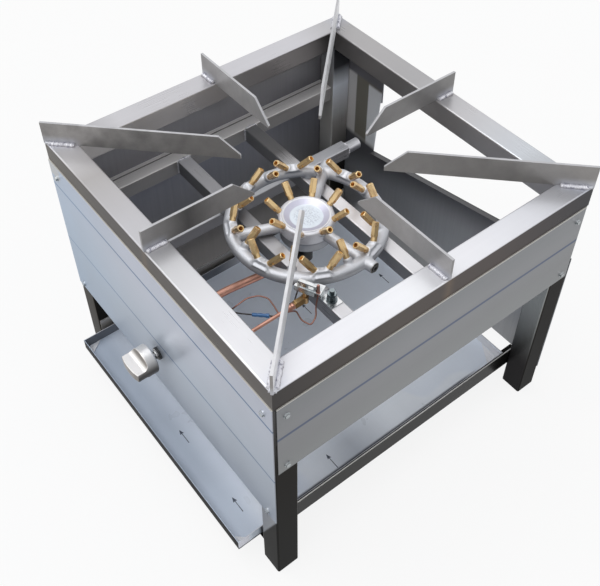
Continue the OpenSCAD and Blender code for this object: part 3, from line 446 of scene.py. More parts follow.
def tray_sheet():
    """The drip tray: bluish film over brushed sheet, paler under the stove as painted light, with
    soft pale and dark reaches that are painted glints and reflections, and walls painted dark and
    pale by where they face.
    """
    finish = Finish("tray_sheet", specular_tint=DULL_EDGE)
    nx, ny, nz = finish.facing()
    drift = finish.cloud(0.22, 1)
    lip = finish.run(finish.x + 0.1 * (drift - 0.5), -0.25, 0.25,
                     [(184, 196, 213), (182, 193, 209), (184, 195, 211), (196, 206, 221)])
    under = finish.run(finish.y + 0.15 * (drift - 0.5), -0.3, 0.256,
                       [(224, 234, 250), (230, 238, 252), (234, 241, 252), (226, 234, 246)])
    # Painted light: the floor is paler under the stove than on its lip in front
    floor = finish.tint(finish.y.past(-0.29, 0.02), lip, under)
    # A painted glint and a painted dark reflection on the right of the floor
    right = finish.x.past(0.18, 0.03)
    glint = right * finish.cloud(0.11, 0).past(0.52, 0.03) * finish.y.past(-0.28, 0.02)
    floor = finish.tint(0.35 * glint, floor, (250, 253, 255))
    reach = right * finish.y.near(-0.08, 0.03, 0.07)
    floor = finish.tint(0.6 * reach, floor, (120, 130, 146))
    # The right wall stands in its own reflection in the film
    under_wall = finish.x.past(0.2365, 0.0025) * finish.y.near(-0.03, 0.22, 0.03)
    floor = finish.tint(0.9 * under_wall, floor, (34, 35, 50))
    # Painted light and shade on the walls by where they stand and face: dark toward the front,
    # pale toward the back
    toward = finish.tint(finish.y.past(0, 0.05), (34, 34, 36), (250, 250, 253))
    wall = finish.tint(ny.past(0, 0.4), toward, (140, 146, 156))
    colour = finish.tint(nz.past(0.5, 0.2), wall, floor)
    rim = finish.z.past(0.0725, 0.0003) * finish.y.past(-0.335, 0.002)
    colour = finish.tint(rim, colour, (196, 198, 204))
    # The film goes round the right wall's end, pale where it is loose, with a dark line along its
    # foot
    wrap = finish.tint(finish.y.past(-0.319, 0.002), (228, 230, 240), (232, 242, 255))
    wrap = finish.tint(finish.z.before(0.0537, 0.0006), wrap, (40, 43, 54))
    wrapped = nx.past(0.5, 0.2) * finish.x.past(0.2485, 0.0005) * finish.y.before(-0.298, 0.004)
    colour = finish.tint(wrapped, colour, wrap)
    fine = finish.grain("x", 0.6, 0.0012, 1)
    smudge = finish.cloud(0.05, 3)
    level = 1 + 0.03 * (fine - 0.5) + 0.1 * (smudge - 0.5)
    front = (0 - ny).past(0.5, 0.2) * finish.y.before(0, 0.05)
    finish.relief(finish.cloud(0.08, 0), 0.0005)
    colour = finish.shade(colour, level)
    return finish.paint(colour, 0.3 + 0.16 * (smudge - 0.5), 0.1 + 0.85 * front)


def dull_steel(name, top, side, left=None, roughness=0.3, metallic=0.45):
    """Tube or angle of brushed steel with painted light and shade: one tone on top and another on
    its sides, and a paler one on the sides of the left one of a pair."""
    finish = Finish(name, metallic=metallic, specular_tint=DULL_EDGE)
    sides = finish.tint(finish.x.past(0, 0.01), left or side, side)
    # Only the runners' resting legs lie low, in the shade
    colour = finish.tint(finish.upward(0.5, 0.2) * finish.z.past(0.08, 0.002), sides, top)
    return brushed(finish, colour, "y", roughness=roughness)


def cross_steel(name, top_run):
    """A cross bar: painted light on top, and painted shade toward its left end under the frame.
    """
    finish = Finish(name, metallic=0.35, specular_tint=DULL_EDGE)
    end = 0.266
    top = finish.run(finish.x, -end, end, top_run)
    side = finish.run(finish.x, -end, end, [(124, 124, 126), (128, 128, 131), (132, 132, 136)])
    colour = finish.tint(finish.upward(0.5, 0.2), side, top)
    return brushed(finish, colour, "x")


def weld_steel():
    """Weld bead: silvery ripples with straw and blue heat in their valleys, painted paler where
    they face up.
    """
    finish = Finish("weld_steel", metallic=0.5)
    patch = finish.cloud(0.006, 3)
    colour = finish.tint(finish.upward(0.2, 0.6), (168, 166, 168), (236, 236, 242))
    colour = finish.tint(patch.past(0.6, 0.08), colour, (158, 158, 172))
    finish.relief(finish.cloud(0.003, 2), 0.0006)
    return finish.paint(colour, 0.5 + 0.3 * (patch - 0.5))


def zinc_plate(name, pale, dark):
    """Bright zinc: painted light, bluish white, above, and painted dark reflections on its sides.
    """
    finish = Finish(name, metallic=1.0)
    patch = finish.cloud(0.008, 3)
    colour = finish.tint(finish.upward(0.35, 0.5), dark, pale)
    colour = finish.tint(patch.past(0.6, 0.1) * 0.4, colour, (120, 128, 132))
    finish.relief(patch, 0.0001)
    return finish.paint(colour, 0.2 + 0.3 * (patch - 0.4))


def cast_aluminium():
    """As-cast aluminium: matt silvery skin, painted pale above as light and grey underneath as
    shade.
    """
    finish = Finish("cast_aluminium", metallic=0.5)
    skin = finish.cloud(0.0022, 4)
    patch = finish.cloud(0.03, 3)
    colour = finish.tint(finish.upward(0.05, 0.85), (122, 125, 133), (226, 228, 234))
    # The hub's crown is painted pale, partly as turned metal and partly as painted light, above
    # its rough drum
    crown = finish.from_burner().before(0.0475, 0.001) * finish.z.past(0.374, 0.0012)
    colour = finish.tint(0.85 * crown, colour, (222, 223, 230))
    level = 0.95 + 0.2 * (patch - 0.45) + 0.12 * (skin - 0.5)
    finish.relief(skin + 0.6 * patch, 0.0004)
    return finish.paint(finish.shade(colour, level), 0.5 + 0.2 * (patch - 0.5))


def turned_aluminium():
    """The cap's bowl: a lavender wall inside a bright rim, and a bluish white floor, with its
    sides painted greyer as shade.
    """
    finish = Finish("cap_aluminium", metallic=0.6)
    out = finish.from_burner()
    rings = finish.add("Math", {"operation": "SINE"}, {0: out * (2 * math.pi / 0.0011)})
    patch = finish.cloud(0.012, 3)
    bowl = finish.tint(out.past(0.0275, 0.0008), (228, 236, 245), (204, 204, 221))
    bowl = finish.tint(out.past(0.0372, 0.0008), bowl, (236, 237, 242))
    colour = finish.tint(finish.upward(0.45, 0.35), (196, 197, 208), bowl)
    scale = finish.cloud(0.003, 3)
    flecks = scale.past(0.52, 0.04) * out.before(0.021, 0.004)
    colour = finish.tint(0.5 * flecks, colour, (176, 182, 196))
    finish.relief(rings * 0.3 + 2 * scale + patch, 0.0001)
    colour = finish.shade(colour, 0.97 + 0.14 * (patch - 0.4))
    return finish.paint(colour, 0.4 + 0.15 * (patch - 0.5))


def brass(name, bright, deep):
    """Turned brass with tool rings and tarnish: gold where it faces up as painted light, browner
    below as painted shade.
    """
    finish = Finish(name, metallic=0.6)
    tarnish = finish.cloud(0.012, 2)
    colour = finish.tint(finish.upward(0.1, 0.8), deep, bright)
    colour = finish.tint(tarnish.past(0.6, 0.12) * 0.5, colour, (158, 118, 84))
    finish.relief(finish.cloud(0.0012, 2), 0.00008)
    return finish.paint(colour, 0.24 + 0.2 * (tarnish - 0.5))


def copper(name, bright, deep):
    """Drawn copper with a pink sheen, bright where it faces up as painted light and deeper below
    as painted shade, dulled in patches by heat and handling.
    """
    finish = Finish(name, metallic=0.7)
    patch = finish.cloud(0.02, 3)
    colour = finish.tint(finish.upward(0.1, 0.8), deep, bright)
    colour = finish.tint(patch.past(0.56, 0.12) * 0.3, colour, (140, 92, 78))
    finish.relief(patch, 0.0001)
    return finish.paint(colour, 0.42 + 0.2 * (patch - 0.5))


def moulded(name, colour, roughness, sheen=0.0):
    """Moulded plastic, rubber or paint, with a fine skin and a little dust."""
    finish = Finish(name, coat_weight=sheen, coat_roughness=0.2)
    dust = finish.cloud(0.004, 3)
    pale = tuple(min(part * 1.5 + 0.01, 1) for part in tone(*colour)[:3]) + (1,)
    finish.relief(finish.cloud(0.0008, 2), 0.00005)
    dusty = finish.tint(0.5 * dust.past(0.6, 0.15), colour, pale)
    return finish.paint(dusty, roughness + 0.15 * (dust - 0.5))


def satin_knob():
    """Satin metal knob: nearly white above, olive-grey on its shaded sides."""
    finish = Finish("satin_knob", metallic=0.75)
    nx, ny, nz = finish.facing()
    fine = finish.grain("y", 0.02, 0.0005, 2)
    lit = (nz * 0.9 - nx * 0.35).past(0.12, 0.55)
    colour = finish.tint(lit, (88, 84, 80), (234, 231, 228))
    colour = finish.tint(0.7 * (0 - ny).past(0.75, 0.2), colour, (118, 112, 108))
    finish.relief(fine, 0.00003)
    colour = finish.shade(colour, 0.97 + 0.08 * (fine - 0.5))
    return finish.paint(colour, 0.34 + 0.1 * (fine - 0.5))


def arrow_ink():
    """Dark blue print, worn in places."""
    finish = Finish("arrow_ink")
    worn = finish.cloud(0.004, 3)
    return finish.paint(finish.tint(worn.past(0.68, 0.1), (58, 66, 84), (104, 114, 132)), 0.5)


def loose_film():
    """Pale film that has come off the sheet and turned milky."""
    finish = Finish("loose_film", roughness=0.35)
    crease = finish.grain("x", 0.02, 0.003, 3)
    finish.relief(crease, 0.0006)
    finish.feed(finish.shader.inputs["Alpha"], 0.72 + 0.2 * crease)
    return finish.paint(finish.shade((244, 246, 251), 0.9 + 0.2 * crease))


WELD = weld_steel()
SHAFT_STEEL = dull_steel("shaft_steel", (226, 226, 226), (120, 118, 116), roughness=0.22)
# Each rail's tones along its top, its outer side and its inner side, with painted light and
# painted shade in them
RAIL_RUNS = {
    "front": (
        [(240, 239, 243), (184, 181, 181), (198, 197, 201), (212, 212, 215), (234, 234, 238),
         (239, 239, 243)],
        [(112, 107, 101), (95, 91, 89), (100, 95, 92), (98, 94, 91)],
        [(110, 108, 108), (110, 108, 108)]),
    "right": (
        [(236, 236, 241), (240, 240, 245), (243, 244, 248), (238, 238, 243), (224, 225, 231),
         (186, 187, 192)],
        [(64, 61, 60), (92, 86, 82), (88, 81, 79), (62, 62, 66)],
        [(120, 118, 118), (120, 118, 118)]),
    "rear": (
        [(180, 179, 180), (181, 179, 180), (177, 176, 178), (202, 201, 204), (208, 212, 218),
         (160, 160, 162)],
        [(120, 118, 116), (120, 118, 116)],
        [(124, 121, 120), (146, 143, 142), (170, 167, 167), (186, 182, 182)]),
    "left": (
        [(148, 146, 147), (205, 204, 208), (204, 203, 207), (208, 207, 212), (210, 209, 214),
         (190, 189, 190)],
        [(120, 118, 116), (120, 118, 116)],
        [(206, 203, 201), (196, 192, 190), (140, 136, 136), (30, 29, 30)]),
}
FAR_FILM = [(150, 158, 170), (168, 175, 186), (180, 186, 197)]
FAR_LINES = [(0.4165, 0.0005, 0.6)]
# The film and bare tones run up each sheet and hold painted light and shade; the right sheet's
# film is greyer, and darker partly as painted shade
SHEETS = {
    "front": dict(
        film=[(176, 185, 199), (187, 196, 209), (197, 206, 219), (206, 212, 225),
              (206, 211, 225)],
        bare=[(96, 94, 94), (104, 102, 102)],
        lines=[(0.4165, 0.0017, 0.95), (0.2895, 0.0015, 0.85)],
        metallic=0.5, outer=front_film),
    "right": dict(
        film=[(150, 152, 153), (147, 148, 150), (151, 152, 155), (144, 146, 149)],
        bare=[(110, 110, 112), (110, 110, 112)],
        lines=[(0.3915, 0.0026, 0.9)],
        metallic=0.5, ink=(88, 100, 128)),
    "left": dict(
        film=FAR_FILM, lines=FAR_LINES, inside=left_inside,
        bare=[(120, 118, 119), (124, 122, 122), (137, 138, 147), (160, 158, 160)]),
    "rear": dict(
        film=FAR_FILM, lines=FAR_LINES, inside=rear_inside, painted_edge=(96, 96, 98),
        bare=[(176, 178, 182), (158, 160, 164), (134, 133, 135), (130, 128, 128)]),
}
CAST = cast_aluminium()
CAP = turned_aluminium()
LINING = brass("bore_lining", (252, 208, 118), (246, 190, 100))
# The nozzles' brass is painted dark as the shade deep in the bores
BORE_BRASS = brass("bore_brass", (72, 46, 20), (52, 33, 15))
COPPER = copper("copper", (232, 178, 158), (156, 98, 80))
CAPILLARY = copper("capillary_copper", (176, 130, 118), (112, 78, 70))
LEAD_SLEEVE = moulded("lead_sleeve", (52, 44, 46), 0.42, 0.2)
BLUE_SLEEVE = moulded("blue_sleeve", (72, 128, 190), 0.3, 0.5)
CERAMIC = moulded("ceramic", (226, 222, 210), 0.3, 0.4)
KNOB = satin_knob()
INK = arrow_ink()
FILM = loose_film()


def dress(material, *names):
    """Gives the solids of these names a finish."""
    for name in names:
        for slot in solids[name].material_slots:
            slot.material = material


CORNERS = ("front_left", "front_right", "rear_right", "rear_left")
SIDES = ("left", "front", "right", "rear")
for side in SIDES:
    dress(rail_steel(side, *RAIL_RUNS[side]), "top_rail_" + side)
    dress(filmed_sheet(side, **SHEETS[side]), "panel_" + side)
dress(leg_steel(), *["leg_" + corner for corner in CORNERS])
dress(bar_steel(), *["pot_bar_" + place for place in CORNERS + SIDES])
# The runs along the cross bars' tops hold painted light and painted shade
dress(cross_steel("cross_steel_front", [
    (216, 216, 220), (132, 132, 136), (246, 245, 248), (240, 239, 244)]), "cross_bar_front")
dress(cross_steel("cross_steel_rear", [
    (142, 142, 144), (116, 115, 116), (254, 252, 254), (248, 246, 248), (248, 246, 248),
    (244, 243, 246), (240, 240, 244)]), "cross_bar_rear")
# Tops painted light and sides painted shade, the runners' sides almost black
dress(dull_steel("runner_steel", (204, 203, 201), (24, 23, 21), (176, 173, 170)),
      "runner_left", "runner_right")
dress(dull_steel("ledge_steel", (250, 247, 246), (150, 147, 146), metallic=0.1),
      "side_rail_left", "side_rail_right")
dress(dull_steel("manifold_steel", (206, 207, 212), (140, 138, 140)), "gas_manifold")
dress(dull_steel("nipple_steel", (222, 223, 228), (140, 140, 146)), "inlet_nipple")
dress(SHAFT_STEEL, "valve_spindle")
dress(zinc_plate("bright_zinc", (238, 240, 242), (150, 156, 158)),
      "panel_screws", "pilot_bracket", "burner_bolts")
dress(zinc_plate("stud_zinc", (158, 168, 172), (34, 44, 46)), "pilot_stud")
dress(brass("jet_brass", (238, 208, 156), (176, 138, 90)),
      "hub_jets", *[f"ring_jets_{i}" for i in range(1, 9)])
dress(brass("pilot_brass", (206, 172, 122), (126, 98, 62)),
      "pilot_burner", "gas_valve", "valve_plunger")
dress(moulded("dark_iron", (36, 35, 36), 0.5, 0.1), "burner_elbow", "ring_plugs")
dress(moulded("black_plastic", (26, 26, 28), 0.45, 0.2), "leg_plugs", "shaft_seal")
dress(tray_sheet(), "tray")


def piece(name, form, material, body="base", crease=35):
    """Closes a form that is in millimetres and makes it a piece of the stove, in metres,
    with its round parts shaded round."""
    bmesh.ops.recalc_face_normals(form, faces=form.faces)
    bmesh.ops.scale(form, vec=(MM, MM, MM), verts=form.verts)
    mesh = bpy.data.meshes.new(name)
    form.to_mesh(mesh)
    form.free()
    mesh.materials.append(material)
    mesh.shade_smooth()
    mesh.set_sharp_from_angle(angle=math.radians(crease))
    thing = bpy.data.objects.new(name, mesh)
    bpy.context.scene.collection.objects.link(thing)
    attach(thing, body)
    return thing


def outward(degrees):
    """The level direction that a turn about the burner's axis points to."""
    turn = math.radians(degrees)
    return Vector((math.cos(turn), math.sin(turn), 0))


def circle(middle, across, other, radius, sides):
    """Points round a middle, in the plane of two directions."""
    turns = (2 * math.pi * k / sides for k in range(sides))
    return [middle + radius * (math.cos(a) * across + math.sin(a) * other) for a in turns]


def axes_of(way):
    """An axis along a direction, and two directions across it."""
    axis = Vector(way).normalized()
    across = axis.orthogonal().normalized()
    return axis, across, axis.cross(across)


def add_tube(form, path, radii, sides=24):
    """Adds a closed round tube along a path, with a radius for each of its points."""
    last = len(path) - 1
    rings = []
    across = None
    for i, point in enumerate(path):
        way = (path[min(i + 1, last)] - path[max(i - 1, 0)]).normalized()
        if across is None:
            across = way.orthogonal()
        across = (across - way * across.dot(way)).normalized()
        points = circle(point, across, way.cross(across), radii[i], sides)
        rings.append([form.verts.new(place) for place in points])
    for low, high in zip(rings, rings[1:]):
        for k in range(sides):
            form.faces.new((low[k], low[k - 1], high[k - 1], high[k]))
    form.faces.new(rings[0])
    form.faces.new(rings[-1][::-1])


def rounded(route, blend, steps=9):
    """A route with each of its corners rounded over a length on both sides."""
    points = [Vector(point) for point in route]
    path = [points[0]]
    for before, corner, after in zip(points, points[1:], points[2:]):
        start = corner - (corner - before).normalized() * blend
        end = corner + (after - corner).normalized() * blend
        for k in range(steps + 1):
            t = k / steps
            path.append(start * (1 - t) ** 2 + corner * 2 * t * (1 - t) + end * t ** 2)
    path.append(points[-1])
    return path


def pipe(name, routes, width, blend, material, sides=24):
    """A bent pipe or wire, in one or more stretches."""
    form = bmesh.new()
    for route in routes:
        path = rounded(route, blend)
        add_tube(form, path, [width / 2] * len(path), sides)
    return piece(name, form, material)


def add_lathe(form, at, way, profile, sides=48):
    """Adds a form turned about an axis, from pairs of a radius and a height along it."""
    axis, across, other = axes_of(way)
    rings = []
    for radius, height in profile:
        middle = Vector(at) + axis * height
        points = circle(middle, across, other, radius, sides) if radius else [middle]
        rings.append([form.verts.new(point) for point in points])
    for low, high in zip(rings, rings[1:]):
        for k in range(sides):
            corners = [low[k % len(low)], low[(k + 1) % len(low)],
                       high[(k + 1) % len(high)], high[k % len(high)]]
            form.faces.new(list(dict.fromkeys(corners)))


def turned(name, at, way, profile, material, slot, sides=24):
    """A piece turned about an axis."""
    form = bmesh.new()
    add_lathe(form, at, way, profile, sides)
    return piece(name, form, material)


def add_ring(form, at, way, profile, sides=48):
    """Adds a closed ring turned about an axis, from the outline of its section."""
    axis, across, other = axes_of(way)
    loops = [[form.verts.new(Vector(at) + out * r + axis * h) for r, h in profile]
             for out in circle(Vector((0, 0, 0)), across, other, 1, sides)]
    for here, there in zip(loops, loops[1:] + loops[:1]):
        for i in range(len(profile)):
            j = (i + 1) % len(profile)
            form.faces.new((here[i], here[j], there[j], there[i]))


def add_bead(form, start, end, width, seed):
    """Adds a weld bead between two points, rippled as its drops froze one by one."""
    start, end = Vector(start), Vector(end)
    length = (end - start).length
    count = max(int(length / BEAD_STEP), 8)
    path, radii = [], []
    for k in range(count + 1):
        t = k / count
        along = t * length
        wander = noise.noise_vector(Vector((along * 0.16, seed, 0))) * 0.5
        taper = min(1, along / 2 + 0.35, (length - along) / 2 + 0.35)
        ripple = 0.1 * math.cos(2 * math.pi * along / BEAD_RIPPLE)
        swell = 0.3 * noise.noise(Vector((along * 0.3, seed, 5)))
        path.append(start.lerp(end, t) + wander)
        radii.append(width * taper * (1 + ripple + swell))
    add_tube(form, path, radii, 12)


def add_prism(form, low, high):
    """Adds a prism between two outlines of points."""
    low, high = ([form.verts.new(point) for point in outline] for outline in (low, high))
    form.faces.new(low[::-1])
    form.faces.new(high)
    for k in range(len(low)):
        form.faces.new((low[k - 1], low[k], high[k], high[k - 1]))


def add_web(form, core, along, high, through):
    """Adds the web that carries two jets: a flat trapezium with its corners cut off."""
    outline = [(-27, 2), (27, 2), (17, 9.3), (9, 15.3), (-9, 15.3), (-17, 9.3)]
    add_prism(form, *([core + along * a + high * h + through * deep for a, h in outline]
                      for deep in (-7.5, 7.5)))


def solid_form(*names):
    """Form of some solids, in millimetres, with the corners of their faces joined."""
    form = bmesh.new()
    for name in names:
        form.from_mesh(solids[name].data)
    bmesh.ops.remove_doubles(form, verts=form.verts, dist=0.00001)
    bmesh.ops.scale(form, vec=(1 / MM,) * 3, verts=form.verts)
    return form


def run_together(thing, grain, passes):
    """Runs a piece's forms together with soft fillets: they are rebuilt from cubes of a
    size in millimetres, and smoothed in a number of passes."""
    remesh = thing.modifiers.new("merge", "REMESH")
    remesh.mode = "VOXEL"
    remesh.voxel_size = grain * MM
    remesh.use_smooth_shade = True
    smooth = thing.modifiers.new("fillet", "SMOOTH")
    smooth.factor = 0.5
    smooth.iterations = passes
    bpy.context.view_layer.update()
    seen = thing.evaluated_get(bpy.context.evaluated_depsgraph_get())
    mesh = bpy.data.meshes.new_from_object(seen)
    thing.modifiers.clear()
    thing.data = mesh


def cast_burner():
    """The burner casting: ring, webs, hub and spokes run together with soft fillets."""
    form = solid_form("burner_ring", "burner_hub")
    # Each spoke runs on into the ring
    for k in range(3):
        out = outward(SPOKE_TURN + SPOKE_STEP * k)
        inner, outer = (BURNER + out * reach + RING_Z * UP for reach in (104, 122))
        add_tube(form, [inner, inner.lerp(outer, 0.5), outer], [9.7, 10.2, 10.2], 32)
    # A flared web stands on the ring under each pair of jets that lean apart
    lean = math.atan(-math.cos(math.radians(PAIR_TURN)) * math.tan(math.radians(JET_TILT)))
    for k in range(8):
        out = outward(PAIR_START + JET_STEP * k)
        high = UP * math.cos(lean) - out * math.sin(lean)
        through = out * math.cos(lean) + UP * math.sin(lean)
        add_web(form, BURNER + out * RING_R + RING_Z * UP, UP.cross(out), high, through)
    # The crown rounds up to the cap's rim
    add_ring(form, BURNER + HUB_TOP * UP, UP, [
        (39.2, -2.5), (45.8, -2.5), (46.2, -0.8), (45.2, 0.8), (42.8, 2.1), (40.4, 2.8),
        (39.2, 2.8),
    ], 96)
    # A nib is left where the mould was filled
    out = outward(NIB_TURN)
    at = BURNER + (RING_Z - 4) * UP + out * (RING_R + 7)
    add_tube(form, [at, at + out * 5, at + out * 8], [3.4, 3.0, 2.2], 16)
    thing = piece("burner_casting", form, CAST, crease=70)
    run_together(thing, 1.15, 9)
    thing.data.set_sharp_from_angle(angle=math.radians(75))
    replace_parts(thing, "burner_ring", "burner_hub")


def burner_cap():
    """The cap's shallow bowl, with a thin rolled rim."""
    profile = [
        (0, -5), (39.2, -5), (40, -4.2), (40, 1.4), (39.9, 2.3), (39.4, 2.9), (38.6, 3),
        (37.6, 2.8), (37, 2.3), (34, 1.1), (30, -0.8), (28, -1.6), (26.8, -1.95), (25, -2),
        (0, -2),
    ]
    at = BURNER + HUB_TOP * UP
    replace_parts(turned("turned_cap", at, UP, profile, CAP, "cap_aluminium", 96), "burner_cap")


def jet_axes():
    """Seat and direction of each jet, round the ring and round the hub."""
    kinds = [(PAIR_START, RING_R, RING_Z, -PAIR_TURN), (PAIR_START, RING_R, RING_Z, PAIR_TURN),
             (INWARD_START, RING_R, RING_Z, 180), (INWARD_START, HUB_JET_R, HUB_TOP, 0)]
    axes = []
    for i in range(8):
        for start, reach, height, turn in kinds:
            spin = Matrix.Rotation(math.radians(start + JET_STEP * i), 3, "Z")
            lean = (Matrix.Rotation(math.radians(turn), 3, "Z")
                    @ Matrix.Rotation(math.radians(JET_TILT), 3, "Y"))
            way = spin @ (lean @ UP)
            at = BURNER + spin @ Vector((reach, 0, 0)) + height * UP
            axes.append((at + way * (JET_SEAT if height == RING_Z else 0), way))
    return axes


def jet_orifices():
    """Bright wall of each mixing bore, and the drilled nozzle that stands in it, painted dark as
    the shade deep in the bore.
    """
    walls, nozzles = bmesh.new(), bmesh.new()
    wall = [(3.66, 0.1), (3.66, 23.6), (3.5, 23.6), (3.3, 22.8), (3.3, 0.9), (2.2, 0.5),
            (2.2, 0.1)]
    nozzle = [(0, 0.05), (2.5, 0.05), (2.4, 1.4), (1.4, 3.2), (0, 3.4)]
    for seat, way in jet_axes():
        floor = seat + way * JET_BORE_FLOOR
        add_ring(walls, floor, way, wall, 24)
        add_lathe(nozzles, floor, way, nozzle, 20)
    piece("jet_bores", walls, LINING)
    piece("jet_nozzles", nozzles, BORE_BRASS)


def socket_rims():
    """Bright turned rim round each black plug in the ends of the spokes."""
    form = bmesh.new()
    rim = [(7.2, -0.3), (9.4, -0.3), (9.4, 0.2), (8.6, 0.6), (7.6, 0.6), (7.2, 0.3)]
    for k in range(2):
        out = outward(SPOKE_TURN + SPOKE_STEP * k)
        add_ring(form, BURNER + out * (RING_R + PLUG_REACH) + RING_Z * UP, out, rim)
    piece("plug_rims", form, SHAFT_STEEL)


def pipes():
    """The three bent gas pipes: to the valve, on to the burner, and to the pilot."""
    feed = [(-8, -259, 283), (-8, -259, 312), (-10, -170, 312), (0, -60, 308), (0, -28, 308)]
    link = [(MANIFOLD_X, -255, MANIFOLD_Z), (MANIFOLD_X, -273, MANIFOLD_Z),
            (MANIFOLD_X, -273, 259), (-34, -273, 259)]
    pilot = [(109.97, -124, 355), (109.97, -225, 353), (62, -262, 300), (40, -278, 259),
             (16, -278, 259)]
    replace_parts(pipe("feed_tube", [feed], 13, 14, COPPER, 32), "feed_pipe")
    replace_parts(pipe("link_tube", [link], 10, 14, COPPER, 28), "valve_link_pipe")
    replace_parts(pipe("pilot_tube", [pilot], 6, 15, COPPER), "pilot_pipe")


def capillary():
    """Thin copper capillary in a loose loop, with its steel tip beside the flame."""
    tip = (132.31, -91.57, 378)
    path = rounded([
        tip, (136, -99, 362), (146, -106, 352), (150, -119, 345), (132, -123, 342),
        (110, -117, 340), (99, -142, 340), (81, -138, 340), (64, -136, 340), (50, -144, 339),
        (40, -160, 335), (38, -182, 328), (24, -206, 300), (-8, -206, 259), (-8, -218, 259),
    ], 5.5)
    form = bmesh.new()
    add_tube(form, path, [1.25] * len(path), 16)
    add_lathe(form, tip, UP, [
        (0, 0), (2.5, 0), (2.5, 4), (3.4, 4.3), (3.4, 8), (2.5, 8.3), (2.5, 22), (2.1, 23.4),
        (1.1, 24), (0, 24),
    ], 24)
    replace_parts(piece("capillary", form, CAPILLARY), "thermocouple")


def ignition():
    """Black ignition lead with its blue crimped joint and the spark rod it feeds."""
    start = [(103.64, -105.78, 384), (98, -111, 345), (80, -116, 320), (86, -134.5, 315),
             (77, -144, 315)]
    end = [(58, -164, 315), (48, -174.5, 315), (33, -184, 312), (6, -206, 300),
           (-14, -226, 296), (-14, -244, 291), (-14, -244, 283)]
    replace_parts(pipe("lead_wire", [start, end], 2.4, 5, LEAD_SLEEVE, 16),
                "ignition_lead")
    gap = Vector(end[0]) - Vector(start[-1])
    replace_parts(turned("crimp_sleeve", start[-1], gap, [
        (0, 0), (3.5, 0), (3.9, 0.6), (3.7, 4), (2.9, 7), (2.8, 9.5), (3.3, 12), (3.3, 15),
        (2.8, 17.5), (2.8, 19.5), (3.2, 22), (3.0, gap.length - 1), (2.4, gap.length),
        (0, gap.length),
    ], BLUE_SLEEVE, "blue_plastic"), "lead_crimp")
    turned("spark_rod", (103.64, -105.78, 383), UP, [
        (0, 0), (2.6, 0), (2.9, 0.6), (2.9, 8), (2.4, 9), (1.6, 9.6), (0.7, 9.8), (0.7, 15),
        (0, 15.4),
    ], CERAMIC, "zinc")


def pilot_fittings():
    """Copper olives behind the pilot's nut, where its pipe goes in."""
    turned("pilot_olives", (109.97, -121, 355), (0, -1, 0), [
        (0, 0), (5.2, 0), (5.9, 1.2), (5.9, 2.6), (4.9, 4), (4.6, 5), (5.5, 6.4), (5.6, 7.8),
        (4.6, 9.4), (3.8, 10.4), (4.4, 11.6), (4.4, 12.8), (3.2, 14), (0, 14),
    ], COPPER, "copper", 32)


def bar_welds():
    """Rippled beads along both sides of the bars' feet."""
    form = bmesh.new()
    off = BAR_T / 2 + BAR_BEAD * 0.72
    lift = RAIL_TOP + BAR_BEAD * 0.3
    diagonal = Vector((1, 1, 0)).normalized()
    seed = 1
    for i in range(4):
        spin = Matrix.Rotation(math.radians(90 * i), 3, "Z")
        for side in (-off, off):
            corner = Vector((-HALF, -HALF, lift)) + Vector((-diagonal.y, diagonal.x, 0)) * side
            for start, end in (
                    (Vector((3.5 - HALF, side, lift)), Vector((TUBE - 3 - HALF, side, lift))),
                    (corner + diagonal * 8, corner + diagonal * 51)):
                add_bead(form, spin @ start, spin @ end, 3.7, seed)
                seed += 1
    piece("bar_welds", form, WELD)
    return seed


def rest_welds(seed):
    """Beads at the cross bars' ends and round the manifold's nipple."""
    form = bmesh.new()
    top = CROSS_TOP + 0.2
    for y in (FRONT_CROSS_Y, REAR_CROSS_Y):
        low_y, high_y = y - CROSS_W / 2, y + CROSS_W / 2
        for x in (0.4 - CROSS_END, CROSS_END - 0.4):
            add_bead(form, (x, low_y + 1, top), (x, high_y - 1, top), 2.0, seed)
            for edge in (low_y - 0.2, high_y + 0.2):
                add_bead(form, (x, edge, CROSS_LOW + 3), (x, edge, top - 1.5), 1.8, seed + 1)
            seed += 2
    at = Vector((MANIFOLD_X, MANIFOLD_BACK + 0.6, MANIFOLD_Z))
    circle_path = [at + (NIPPLE_R + 0.5) * Vector((math.cos(a), 0, math.sin(a)))
                   for a in (math.radians(5 * k) for k in range(73))]
    widths = [1.9 * (1 + 0.14 * math.cos(k * 1.7) + 0.2 * noise.noise(Vector((k * 0.3, 9, 0))))
              for k in range(72)]
    add_tube(form, circle_path, widths + [widths[0]], 12)
    piece("rest_welds", form, WELD)


def knob():
    """The knob with its edges softened, over the spindle's bright stepped collar."""
    thing = piece("grip_knob", solid_form("knob"), KNOB, "knob", 60)
    run_together(thing, 0.6, 4)
    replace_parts(thing, "knob")
    form = bmesh.new()
    add_ring(form, SHAFT, (0, -1, 0), [
        (4.3, 4.1), (9.4, 4.1), (9.6, 4.6), (9.2, 5.2), (7.4, 5.2), (7.0, 5.8), (7.0, 7.2),
        (6.4, 7.6), (4.3, 7.6),
    ])
    piece("shaft_collar", form, SHAFT_STEEL)


def tray_print():
    """Small arrows printed on the tray's film, all pointing to the left."""
    form = bmesh.new()
    for row in range(4):
        for step in range(-4, 4):
            tail, y = 41.5 + 33.5 * row + ARROW_GAP * step, ROW_GAP * row - 298
            if not -205 < tail < 238:
                continue
            head = tail - ARROW_L
            outline = [(tail, -0.75), (tail, 0.75), (head + 9, 0.6), (head + 9.8, 3.6), (head, 0),
                       (head + 9.8, -3.6), (head + 9, -0.6)]
            add_prism(form, *([(x, y + aside, z) for x, aside in outline]
                              for z in (TRAY_FLOOR + 0.02, TRAY_FLOOR + 0.14)))
    piece("tray_arrows", form, INK, "tray", 20)


